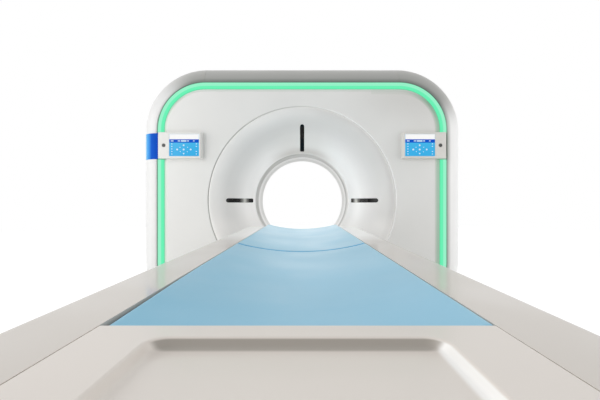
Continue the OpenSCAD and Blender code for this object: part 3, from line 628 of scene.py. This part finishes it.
def loft(bm, rings):
    """A closed solid between the first and the last ring."""
    skin(bm, rings)
    bm.faces.new(rings[0][::-1])
    bm.faces.new(rings[-1])


def revolve(bm, profile, n=256, closed=False):
    """Turns (radius, forward) points about the bore's axis."""
    rings = [circle(bm, 0.0, ISO, r, -v, n) for r, v in profile]
    skin(bm, rings, closed_along=closed)
    return rings


TOP_Z, LOW_Z = ISO + UP, ISO - DOWN
CX = HW - CORNER
TOP_C, LOW_C = TOP_Z - CORNER, LOW_Z + CORNER


def corner_path(cx, cz, a0, a1, n=40):
    """Points round a corner of the outline, each with its outward direction."""
    out = []
    for i in range(n + 1):
        a = math.radians(a0 + (a1 - a0) * i / n)
        out.append((cx + CORNER * math.cos(a), cz + CORNER * math.sin(a), math.cos(a), math.sin(a)))
    return out


def line_path(x0, z0, x1, z1, nx, nz, n):
    """Points along a straight part of the outline, with their outward direction."""
    return [(x0 + (x1 - x0) * i / n, z0 + (z1 - z0) * i / n, nx, nz) for i in range(n + 1)]


def mirrored(path):
    """The same path on the other side of the gantry."""
    return [(-x, z, -nx, nz) for x, z, nx, nz in path]


def side_path():
    """Down the right side of the outline, from the top corner to the bottom one."""
    return (corner_path(CX, TOP_C, 90, 0) + line_path(HW, TOP_C, HW, LOW_C, 1, 0, 12)[1:]
            + corner_path(CX, LOW_C, 0, -90)[1:])


def loop_path():
    """The whole outline."""
    bottom = line_path(CX, LOW_Z, -CX, LOW_Z, 0, -1, 12)[1:-1]
    top = line_path(-CX, TOP_Z, CX, TOP_Z, 0, 1, 12)[1:-1]
    return side_path() + bottom + mirrored(side_path())[::-1] + top


def sweep(bm, path, profile, closed_path=False, closed_profile=True):
    """Carries an (outward, forward) profile along the outline."""
    rings = [[bm.verts.new((x + nx * u, -v, z + nz * u)) for u, v in profile] for x, z, nx, nz in path]
    skin(bm, rings, closed_along=closed_path, closed_round=closed_profile)
    if closed_profile and not closed_path:
        bm.faces.new(rings[0])
        bm.faces.new(rings[-1][::-1])
    return rings


# ---------------------------------------------------------------- the outer band
def band_profile():
    """Half round, hollow, with a small rounding where it meets the strip."""
    c = FACE - BAND

    def curve(r, degrees):
        return [(r * math.sin(math.radians(a)), c + r * math.cos(math.radians(a))) for a in degrees]

    outer = [(0.0, FACE - 0.040), (0.0, FACE - 0.003), (0.0009, FACE - 0.0009), (0.003, FACE - 0.00002)]
    outer += curve(BAND, [4.5 * k for k in range(1, 21)])
    inner = [(u, v) for u, v in curve(BAND - WALL, [90 - 9 * k for k in range(11)]) if u > WALL]
    inner += [(WALL, FACE - 0.006), (WALL, FACE - 0.040)]
    return outer + [(u, -v) for u, v in outer[::-1]] + [(u, -v) for u, v in inner[::-1]] + inner


for name, path, cover in (
        ("left_side_shell", mirrored(side_path()), "left_side_cover"),
        ("right_side_shell", side_path(), "right_side_cover"),
        ("top_shell", line_path(-CX + 0.001, TOP_Z, CX - 0.001, TOP_Z, 0, 1, 24), "top_cover")):
    bm = bmesh.new()
    sweep(bm, path, band_profile())
    piece(name, bm, "stand", "band_silver", replaced=[cover])


# ---------------------------------------------------------------- the face
def front_face():
    """The flat front cover as a closed shell, from its outer edge to the mouth's seam."""
    bm = bmesh.new()
    rings = sweep(bm, loop_path(), [(u, FACE - d) for u, d in (
        (FLAT, 0.0), (-0.072, 0.0001), (-0.070, 0.0006), (-0.068, 0.0016), (-0.0525, 0.0084), (-0.0509, 0.0098),
        (EDGE, 0.0125), (EDGE, 0.040), (EDGE - 0.004, 0.040), (EDGE - 0.004, 0.014), (FLAT, 0.006))],
        closed_path=True, closed_profile=False)
    hole = revolve(bm, [(SEAM_R + u, FACE - d) for u, d in (
        (0.0095, 0.0), (0.008, 0.0003), (0.0065, 0.0012), (0.0015, 0.0055), (0.0003, 0.0072), (0.0, 0.009),
        (0.0, 0.030), (0.004, 0.030), (0.004, 0.012), (0.0095, 0.006))])
    rim = [r[0] for r in rings]
    near = rim + hole[0]
    far = [r[-1] for r in rings] + hole[-1]
    for t in geometry.tessellate_polygon([[v.co.copy() for v in rim], [v.co.copy() for v in hole[0]]]):
        bm.faces.new([near[i] for i in t])
        bm.faces.new([far[i] for i in reversed(t)])
    flat_shaded(piece("front_face", bm, "stand", "cover_white", replaced=["front_cover"], angle=50))


front_face()

# the floor of the groove between face and band
bm = bmesh.new()
sweep(bm, loop_path(), [(u, FACE - d) for u, d in (
    (-0.0505, 0.040), (-0.0005, 0.040), (-0.0005, 0.022), (-0.0505, 0.022))], closed_path=True)
piece("front_groove", bm, "stand", "cover_white", "groove_white")


# ---------------------------------------------------------------- flared mouths and bore
def funnel(edge, sgn):
    """A mouth as a closed shell, on the front for sgn 1 and on the rear for -1."""
    outer, inner = edge - 0.004, BORE_R + LIP

    def forward(r):
        s = unit((edge - r) / (edge - inner))
        return FACE - (FACE - RIM) * (1 - math.cos(math.pi * s)) / 2

    bm = bmesh.new()
    prof = [(edge - u, FACE - d) for u, d in ((0.0, 0.012), (0.0, 0.004), (0.0004, 0.002), (0.0015, 0.0007))]
    prof += [(r, forward(r)) for r in (outer - (outer - inner) * i / 90 for i in range(91))]
    prof += arc(inner, RIM - LIP, LIP, 90, 180, 8)[1:]
    prof += [(BORE_R, RIM - 0.020), (BORE_R + 0.006, RIM - 0.020), (BORE_R + 0.006, RIM - 0.014)]
    prof += [(r, forward(r) - MOUTH_WALL) for r in (inner + (outer - inner) * i / 40 for i in range(41))]
    revolve(bm, [(r, sgn * v) for r, v in prof], 288, closed=True)
    return bm


def slot_cutter(angle):
    """A slot's outline, square at its inner end and round at its outer one, as a solid to cut with."""
    half, ease = SLOT_W / 2, 0.006
    pts = (arc(SLOT_IN + ease, ease - half, ease, 180, 270, 3) + arc(SLOT_OUT - half, 0, half, -90, 90, 20)
           + arc(SLOT_IN + ease, half - ease, ease, 90, 180, 3))
    ca, sa = math.cos(angle), math.sin(angle)
    bm = bmesh.new()
    loft(bm, [[bm.verts.new((x * ca - y * sa, -v, ISO + x * sa + y * ca)) for x, y in pts]
              for v in (RIM - 0.020, FACE + 0.040)])
    return closed_object("slot", bm)


front_mouth = piece("front_mouth", funnel(SEAM_R - 0.0004, 1), "stand", "cover_white", "mouth_white",
                    replaced=["front_funnel"], angle=40)
cut(front_mouth, [slot_cutter(math.radians(a)) for a in (0, 90, 180)], angle=40)
piece("rear_mouth", funnel(REAR_SEAM_R - 0.001, -1), "stand", "cover_white", replaced=["rear_funnel"], angle=40)

for end, sgn, mat in (("front", 1, "liner_grey"), ("rear", -1, "cover_white")):
    bm = bmesh.new()
    prof = [(0.0015, LINER_BACK), (0.0004, LINER_BACK + 0.0005), (0.0, LINER_BACK + 0.002),
            (0.0, LINER_FRONT - 0.0005), (0.0005, LINER_FRONT), (LINER_T, LINER_FRONT),
            (LINER_T, LINER_BACK - 0.012), (0.003, LINER_BACK - 0.012), (0.003, LINER_BACK)]
    revolve(bm, [(BORE_R + u, sgn * v) for u, v in prof], 224, closed=True)
    piece(end + "_bore_ring", bm, "stand", "cover_white", mat, replaced=[end + "_bore_liner"])


# ---------------------------------------------------------------- light guide
def strip():
    """Three lengths: over the top between the panels, and one below each panel."""
    bm = bmesh.new()
    prof = [(u, FACE - d) for u, d in (
        (-STRIP_W - 0.0005, 0.022), (-0.0005, 0.022), (-0.0005, 0.010), (-0.002, 0.0084), (-0.006, 0.008),
        (-0.026, 0.008), (-0.030, 0.0085), (-STRIP_W + 0.003, 0.012), (-STRIP_W + 0.0005, 0.013),
        (-STRIP_W - 0.0005, 0.015))]
    rise = line_path(HW, PANEL_Z1 + 0.002, HW, TOP_C, 1, 0, 2) + corner_path(CX, TOP_C, 0, 90)[1:]
    top = line_path(-CX, TOP_Z, CX, TOP_Z, 0, 1, 24)[1:-1]
    sweep(bm, mirrored(rise) + top + rise[::-1], prof)
    end = math.degrees(math.asin((LOW_C - STRIP_END) / CORNER))
    fall = line_path(HW, PANEL_Z0 - 0.002, HW, LOW_C, 1, 0, 10) + corner_path(CX, LOW_C, 0, -end, 16)[1:]
    sweep(bm, mirrored(fall), prof)
    sweep(bm, fall, prof)
    piece("light_guide", bm, "stand", "light_guide", replaced=["light_strip"], angle=60)


strip()


# ---------------------------------------------------------------- touch panels' housings
def panel_shell(side, s):
    """A wedge-shaped box with the screen's pocket and the button's bore cut into it."""
    bm = bmesh.new()
    outline = [(PANEL_IN, -FACE), (PANEL_IN, 0.020 - PANEL_FRONT), (PANEL_IN + 0.008, -PANEL_FRONT),
               (PANEL_OUT - 0.016, -PANEL_FRONT), (PANEL_OUT, -FACE)]
    loft(bm, [[bm.verts.new((s * x, y, z)) for x, y in outline] for z in (PANEL_Z0, PANEL_Z1)])
    soft = [e for e in bm.edges if not all(abs(v.co.y + FACE) < 1e-5 for v in e.verts)]
    bmesh.ops.bevel(bm, geom=soft, offset=0.0035, segments=4, profile=0.5, affect="EDGES", clamp_overlap=True)
    box = piece(side + "_panel_shell", bm, "stand", "cover_white", "panel_white",
                replaced=[side + "_panel_housing"])
    bm = bmesh.new()
    pts = round_loop(SCREEN_IN, SCREEN_OUT, SCREEN_Z0, SCREEN_Z1, 0.004, 5)
    loft(bm, [[bm.verts.new((s * x, y, z)) for x, z in pts] for y in (-PANEL_FRONT - 0.01, -PANEL_FRONT + 0.006)])
    cut(box, [closed_object("pocket", bm)])
    bm = bmesh.new()
    loft(bm, [circle(bm, s * BUTTON_X, BUTTON_Z, BUTTON_HOLE, y, 48)
              for y in (-PANEL_FRONT - 0.01, -PANEL_FRONT + 0.022)])
    cut(box, [closed_object("bore", bm)])
    flat_shaded(box)


for side, s in (("left", -1), ("right", 1)):
    panel_shell(side, s)


# ---------------------------------------------------------------- foot panel with its shallow tray
ARC_N, END_N = 10, 38           # steps in each corner and along each end


def with_ends(pts):
    """Adds points along both ends of a rounded rectangle, so that they can follow a curve."""
    a, b, c, d = (pts[i * (ARC_N + 1):(i + 1) * (ARC_N + 1)] for i in range(4))

    def between(p, q):
        return [(p[0] + (q[0] - p[0]) * t / END_N, p[1]) for t in range(1, END_N)]

    return a + between(a[-1], b[0]) + b + c + between(c[-1], d[0]) + d


def foot_panel():
    """The plate at the table's foot, from its curved underside up to the rim and down into the tray."""
    bm = bmesh.new()
    loops = []
    for inset, drop in ((0, None), (0, 0.0016), (0.0003, 0.0008), (0.0008, 0.0002), (0.0016, 0)):
        pts = with_ends(round_loop(inset - TRAY_HW, TRAY_HW - inset, TRAY_FOOT + inset, TRAY_HEAD - inset, 0.002,
                                   ARC_N))
        loops.append([bm.verts.new((x, y, dip(x, MAT_T) + 0.0005 if drop is None else TABLE_Z - drop))
                      for x, y in pts])
    for d, drop in ((-0.0040, 0), (-0.0022, 0.0003), (-0.0008, 0.0011), (0.0002, 0.0024), (0.0010, 0.0045),
                    (0.0030, 0.0085), (0.0040, 0.0100), (0.0058, 0.0112), (0.0090, 0.0118), (0.0130, 0.0120)):
        pts = with_ends(round_loop(d - DEEP_HW, DEEP_HW - d, DEEP_FOOT + d, DEEP_HEAD - d,
                                   max(DEEP_R - d * 0.8, 0.006), ARC_N))
        loops.append([bm.verts.new((x, y, TABLE_Z - drop)) for x, y in pts])
    skin(bm, loops)
    bm.faces.new(loops[-1])
    # the underside, in strips from the foot end to the head end
    low = loops[0]
    head = low[ARC_N:ARC_N + END_N + 1]
    foot = low[-ARC_N - END_N - 1:-ARC_N][::-1]
    for i in range(END_N):
        bm.faces.new((head[i], head[i + 1], foot[i + 1], foot[i]))
    bm.faces.new(low[-ARC_N - 1:] + low[:ARC_N + 1])
    bm.faces.new(low[ARC_N + END_N:-ARC_N - END_N])
    flat_shaded(piece("foot_tray", bm, "cradle", "table_white", "tray_white", replaced=["foot_panel"], angle=60))


foot_panel()


# ---------------------------------------------------------------- mattress
def spread(a, b, step, dense=()):
    """Points from a to b, about a step apart, closer by each dense place."""
    n = max(1, round((b - a) / step))
    marks = set()
    for c in dense:
        for d in (0.0, 0.001, 0.0025, 0.005, 0.009, 0.015):
            for v in (c - d, c + d):
                if a - 1e-6 <= v <= b + 1e-6:
                    marks.add(round(v, 5))
    out = {round(a, 5), round(b, 5)} | marks
    for v in (a + (b - a) * k / n for k in range(n + 1)):
        if all(abs(v - q) > 0.007 for q in marks):
            out.add(round(v, 5))
    return sorted(out)


def pad_point(share, y, b):
    """A point of the cover, from its share of the half width, its y and its depth b below the top."""
    half, x = MAT_HW, share * MAT_HW
    if x < 0:
        half -= MAT_SLACK * unit((MAT_SLACK_Y - y) / 0.4) ** 1.2
        x *= half / MAT_HW
    top, low = dip(x), dip(x, MAT_T)
    to_side, to_foot, to_head = half - abs(x), y - MAT_FOOT, MAT_HEAD - y
    a = min(to_side, to_foot, to_head)
    near = a + 1e-6
    inset = 0.0
    if a < MAT_EDGE and b < MAT_EDGE:
        f = MAT_EDGE / math.hypot(MAT_EDGE - a, MAT_EDGE - b)
        inset = MAT_EDGE - (MAT_EDGE - a) * f - a
        b = MAT_EDGE - (MAT_EDGE - b) * f
    if b > MAT_T - 0.002 and a < 0.002:
        inset += 0.0015
    if to_side <= near:
        x -= math.copysign(inset, x)
    if to_foot <= near:
        y += inset
    if to_head <= near:
        y -= inset
    return x, y, top - b / MAT_T * (top - low)


def pad_box(xs, ys, zs):
    """The cover as a closed box over a grid, with the vertex at each grid place."""
    bm = bmesh.new()
    verts = {}

    def place(i, j, k):
        if (i, j, k) not in verts:
            verts[i, j, k] = bm.verts.new(pad_point(xs[i], ys[j], zs[k] * MAT_T))
        return verts[i, j, k]

    def sheet(at, na, nb):
        for a in range(na):
            for b in range(nb):
                bm.faces.new((at(a, b), at(a + 1, b), at(a + 1, b + 1), at(a, b + 1)))

    nx, ny, nz = len(xs) - 1, len(ys) - 1, len(zs) - 1
    sheet(lambda i, j: place(i, j, 0), nx, ny)
    sheet(lambda i, j: place(i, j, nz), nx, ny)
    sheet(lambda i, k: place(i, 0, k), nx, nz)
    sheet(lambda i, k: place(i, ny, k), nx, nz)
    sheet(lambda j, k: place(0, j, k), ny, nz)
    sheet(lambda j, k: place(nx, j, k), ny, nz)
    return bm, verts


def inflate(ob, held, frames=20):
    """How far a short cloth simulation under light pressure moves each vertex, with some of them held."""
    start = [v.co.copy() for v in ob.data.vertices]
    group = ob.vertex_groups.new(name="held")
    group.add(held, 1.0, "REPLACE")
    mod = ob.modifiers.new("cloth", "CLOTH")
    c = mod.settings
    c.quality = 4
    c.mass = 0.3
    c.tension_stiffness = c.compression_stiffness = 20
    c.bending_stiffness = 2.0
    c.vertex_group_mass = "held"
    c.use_pressure = True
    c.uniform_pressure_force = 4
    c.effector_weights.gravity = 0
    mod.point_cache.frame_start, mod.point_cache.frame_end = 1, frames
    for f in range(1, frames + 1):
        scene.frame_set(f)
    done = ob.evaluated_get(bpy.context.evaluated_depsgraph_get()).to_mesh()
    moved = [v.co - p for v, p in zip(done.vertices, start)]
    ob.modifiers.remove(mod)
    ob.vertex_groups.remove(group)
    scene.frame_set(1)
    return moved


def mattress():
    """The padded cover: a box bent to the cradle's dip, filled out by the simulation and drawn in at its seam."""
    edge = [1 - d / MAT_HW for d in (0, 0.0008, 0.0022, 0.0040, 0.0070, 0.012)]
    xs = {round(v, 5) for v in spread(-1.0, 1.0, MAT_STEP / MAT_HW) if abs(v) < edge[-1] - 0.02}
    xs = sorted(xs | {round(v, 5) for v in edge} | {round(-v, 5) for v in edge})
    ys = spread(MAT_FOOT, MAT_HEAD, MAT_STEP, (MAT_FOOT, MAT_SEAM, MAT_HEAD))
    zs = [0, 0.035, 0.09, 0.17, 0.32, 0.6, 0.9, 1]
    bm, verts = pad_box(xs, ys, zs)
    keys = list(verts)
    ob = closed_object("mattress_cover", bm)
    # the underside and the seam stay where they are
    held = [n for n, (i, j, k) in enumerate(keys) if zs[k] > 0.55 or abs(ys[j] - MAT_SEAM) < 0.001]
    moved = inflate(ob, held)
    for v, d, (i, j, k) in zip(ob.data.vertices, moved, keys):
        p = v.co.copy()
        border = min(MAT_HW - abs(p.x), p.y - MAT_FOOT, MAT_HEAD - p.y)
        seam = abs(ys[j] - MAT_SEAM)
        # the pressure may lift the cover by 5 mm, and by less beside the edges and the seam
        cap = 0.0006 + 0.0044 * math.sin(unit(min(border, seam) / 0.07) * math.pi / 2)
        if d.length > cap:
            d = d * (cap / d.length)
        q = p + d
        if k == 0:
            q.z += 0.0010 * noise.noise(Vector((p.x * 7, p.y * 5, 3.1))) * unit(border / 0.04)
            q.z -= 0.0052 * math.exp(-(seam / 0.0062) ** 2)
        v.co = q
    smooth(ob.data)
    sub = ob.modifiers.new("sub", "SUBSURF")
    sub.levels = sub.render_levels = 1
    apply_modifiers(ob)
    ob.data.materials.clear()
    ob.data.materials.append(MATS["mattress_blue"])
    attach(ob, "cradle")
    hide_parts("mattress")


mattress()


def piping(steps=96):
    """The cord sewn into the mattress's cross seam."""
    bm = bmesh.new()
    rings = []
    for k in range(steps + 1):
        x = (MAT_HW - 0.004) * (2 * k / steps - 1)
        z = dip(x) - 0.0012
        lean = math.asin(x / DIP_R)
        r = 0.0024 if 0 < k < steps else 0.0008
        rings.append([bm.verts.new((x - r * math.cos(t) * math.sin(lean), MAT_SEAM + r * math.sin(t),
                                    z + r * math.cos(t) * math.cos(lean))) for t in turns(12)])
    loft(bm, rings)
    piece("mattress_piping", bm, "cradle", "mattress_blue", "piping_blue")


piping()


# ---------------------------------------------------------------- the screens' generic display
def plate(bm, x0, z0, x1, z1, y, r=0.0):
    """A thin flat mark, with its corners eased where r is given."""
    r = min(r, (x1 - x0) / 2.01, (z1 - z0) / 2.01)
    pts = round_loop(x0, x1, z0, z1, r, 6) if r > 0 else [(x1, z1), (x0, z1), (x0, z0), (x1, z0)]
    loft(bm, [[bm.verts.new((x, v, z)) for x, z in pts] for v in (y, y - MARK_T)])


def spot(bm, x, z, rx, rz, y, r):
    """A mark about a centre."""
    plate(bm, x - rx, z - rz, x + rx, z + rz, y, r)


def display_pieces(side, x0):
    """A white header, a blue bar with marks on it, and marks over the lit glass below."""
    y, z0 = 0.001 - PANEL_FRONT, SCREEN_Z0 + DISPLAY_GAP
    x1, z1 = x0 + DISPLAY_W, z0 + DISPLAY_H
    header, bar = z1 - HEADER_H, z1 - HEADER_H - BAR_H
    for part, low, high, mat in (("_display_header", header, z1, "display_white"),
                                 ("_display_bar", bar, header, "display_bar")):
        bm = bmesh.new()
        plate(bm, x0, low, x1, high, y)
        piece(side + part, bm, "stand", "screen_glass", mat)
    bm = bmesh.new()
    y -= MARK_T
    for a, b, tall in ((0.010, 0.030, 0.007), (0.060, 0.078, 0.007), (0.082, 0.122, 0.010),
                       (0.126, 0.140, 0.007), (0.168, 0.180, 0.006)):
        spot(bm, x0 + (a + b) / 2, (header + bar) / 2, (b - a) / 2, tall / 2, y, 0.003)
    for i in range(5):
        z = z0 + 0.014 + i * 0.018
        spot(bm, x0 + 0.018, z, 0.004, 0.0035, y, 0.0034)
        if i != 2:
            spot(bm, x1 - 0.0175, z, 0.0045, 0.003, y, 0.003)
    for x, z, r in ((0.102, 0.046, 0.0065), (0.102, 0.076, 0.006), (0.102, 0.017, 0.005),
                    (0.056, 0.046, 0.0065), (0.152, 0.046, 0.006)):
        spot(bm, x0 + x, z0 + z, r, r, y, r * 0.9)
    for x, z in ((0.076, 0.062), (0.130, 0.062), (0.128, 0.030), (0.078, 0.031)):
        spot(bm, x0 + x, z0 + z, 0.003, 0.003, y, 0.0028)
    piece(side + "_display_marks", bm, "stand", "screen_glass", "display_mark")


for side, x0 in (("left", DISPLAY_GAP - SCREEN_OUT), ("right", SCREEN_IN + DISPLAY_GAP)):
    display_pieces(side, x0)

for side, s in (("left", -1), ("right", 1)):
    bm = bmesh.new()
    prof = ((0.0001, -0.0006), (0.0004, 0.0006), (0.0012, 0.0012), (0.0022, 0.0012), (0.0030, 0.0006),
            (0.0033, -0.0004))
    skin(bm, [circle(bm, s * BUTTON_X, BUTTON_Z, BUTTON_HOLE + u, -PANEL_FRONT - v, 64) for u, v in prof],
         closed_along=True)
    piece(side + "_button_ring", bm, "stand", "cover_white", "button_ring")


# ---------------------------------------------------------------- stage: floor, surroundings and lamps
def direct_view(tree):
    """1 for what the camera sees, also in metal or through glass, and 0 for the light on the object."""
    paths = tree.nodes.new("ShaderNodeLightPath")
    seen = paths.outputs["Is Camera Ray"]
    for kind in ("Is Glossy Ray", "Is Transmission Ray"):
        n = tree.nodes.new("ShaderNodeMath")
        n.operation = "MAXIMUM"
        tree.links.new(seen, n.inputs[0])
        tree.links.new(paths.outputs[kind], n.inputs[1])
        seen = n.outputs[0]
    return seen


def blend(tree, share, a, b, output):
    """Mixes two shaders into the tree's output."""
    n = tree.nodes.new("ShaderNodeMixShader")
    for i, v in enumerate((share, a.outputs[0], b.outputs[0])):
        tree.links.new(v, n.inputs[i])
    tree.links.new(n.outputs[0], tree.nodes[output].inputs[0])


def floor():
    """A wide disc that looks as white as the surroundings but still takes the object's shadow."""
    bm = bmesh.new()
    bm.faces.new([bm.verts.new((FLOOR_R * math.cos(t), FLOOR_R * math.sin(t), 0)) for t in turns(96)])
    ob = mesh_object("floor", bm)
    mat = bpy.data.materials.new("floor")
    mat.use_nodes = True
    t = mat.node_tree
    bsdf = t.nodes["Principled BSDF"]
    bsdf.inputs["Base Color"].default_value = lin(238, 238, 237)
    bsdf.inputs["Roughness"].default_value = 0.8
    emit = t.nodes.new("ShaderNodeEmission")
    emit.inputs["Strength"].default_value = FLOOR_GLOW
    share = t.nodes.new("ShaderNodeMath")
    share.operation = "MULTIPLY"
    share.inputs[1].default_value = FLOOR_SHARE
    t.links.new(direct_view(t), share.inputs[0])
    blend(t, share.outputs[0], bsdf, emit, "Material Output")
    ob.data.materials.append(mat)


def world():
    """White where it is seen, and as light a grey that is darker from below and from the front."""
    w = bpy.data.worlds.new("studio")
    scene.world = w
    w.use_nodes = True
    t = w.node_tree
    way = t.nodes.new("ShaderNodeTexCoord")
    split = t.nodes.new("ShaderNodeSeparateXYZ")
    t.links.new(way.outputs["Generated"], split.inputs[0])
    sky = t.nodes.new("ShaderNodeValToRGB")
    for e, at, grey in zip(sky.color_ramp.elements, (0.0, 0.75), (0.40, 0.80)):
        e.position = at
        e.color = (grey, grey, grey, 1)
    t.links.new(split.outputs[2], sky.inputs[0])
    dim = t.nodes.new("ShaderNodeMapRange")
    for i, v in enumerate((-1.0, 0.0, 0.5, 1.0)):
        dim.inputs[i + 1].default_value = v
    t.links.new(split.outputs[1], dim.inputs[0])
    shade = t.nodes.new("ShaderNodeVectorMath")
    shade.operation = "SCALE"
    t.links.new(sky.outputs[0], shade.inputs[0])
    t.links.new(dim.outputs[0], shade.inputs["Scale"])
    light = t.nodes["Background"]
    light.inputs["Strength"].default_value = 1.0
    t.links.new(shade.outputs[0], light.inputs["Color"])
    white = t.nodes.new("ShaderNodeBackground")
    white.inputs["Color"].default_value = (1, 1, 1, 1)
    white.inputs["Strength"].default_value = 1.0
    blend(t, direct_view(t), light, white, "World Output")


def lamp(name, at, to, size, power, color=(1, 1, 1)):
    """A large soft light that faces a point and is never seen itself."""
    d = bpy.data.lights.new(name, "AREA")
    d.shape = "RECTANGLE"
    d.size, d.size_y = size
    d.energy = power
    d.color = color
    ob = bpy.data.objects.new(name, d)
    scene.collection.objects.link(ob)
    ob.location = at
    ob.rotation_euler = (Vector(to) - Vector(at)).to_track_quat("-Z", "Y").to_euler()
    ob.visible_camera = False


floor()
world()
WARM = (1.0, 0.995, 0.985)
lamp("key", (-3.4, -2.7, 1.6), (0, -0.5, 1.1), (4.5, 3.0), 98, WARM)
lamp("fill", (3.4, -2.5, 1.5), (0.6, -0.5, 0.95), (3.6, 2.4), 40, WARM)
lamp("back", (0, 3.8, 2.8), (0, 0, 1.0), (3.6, 2.2), 42)

scene.view_settings.view_transform = "Standard"
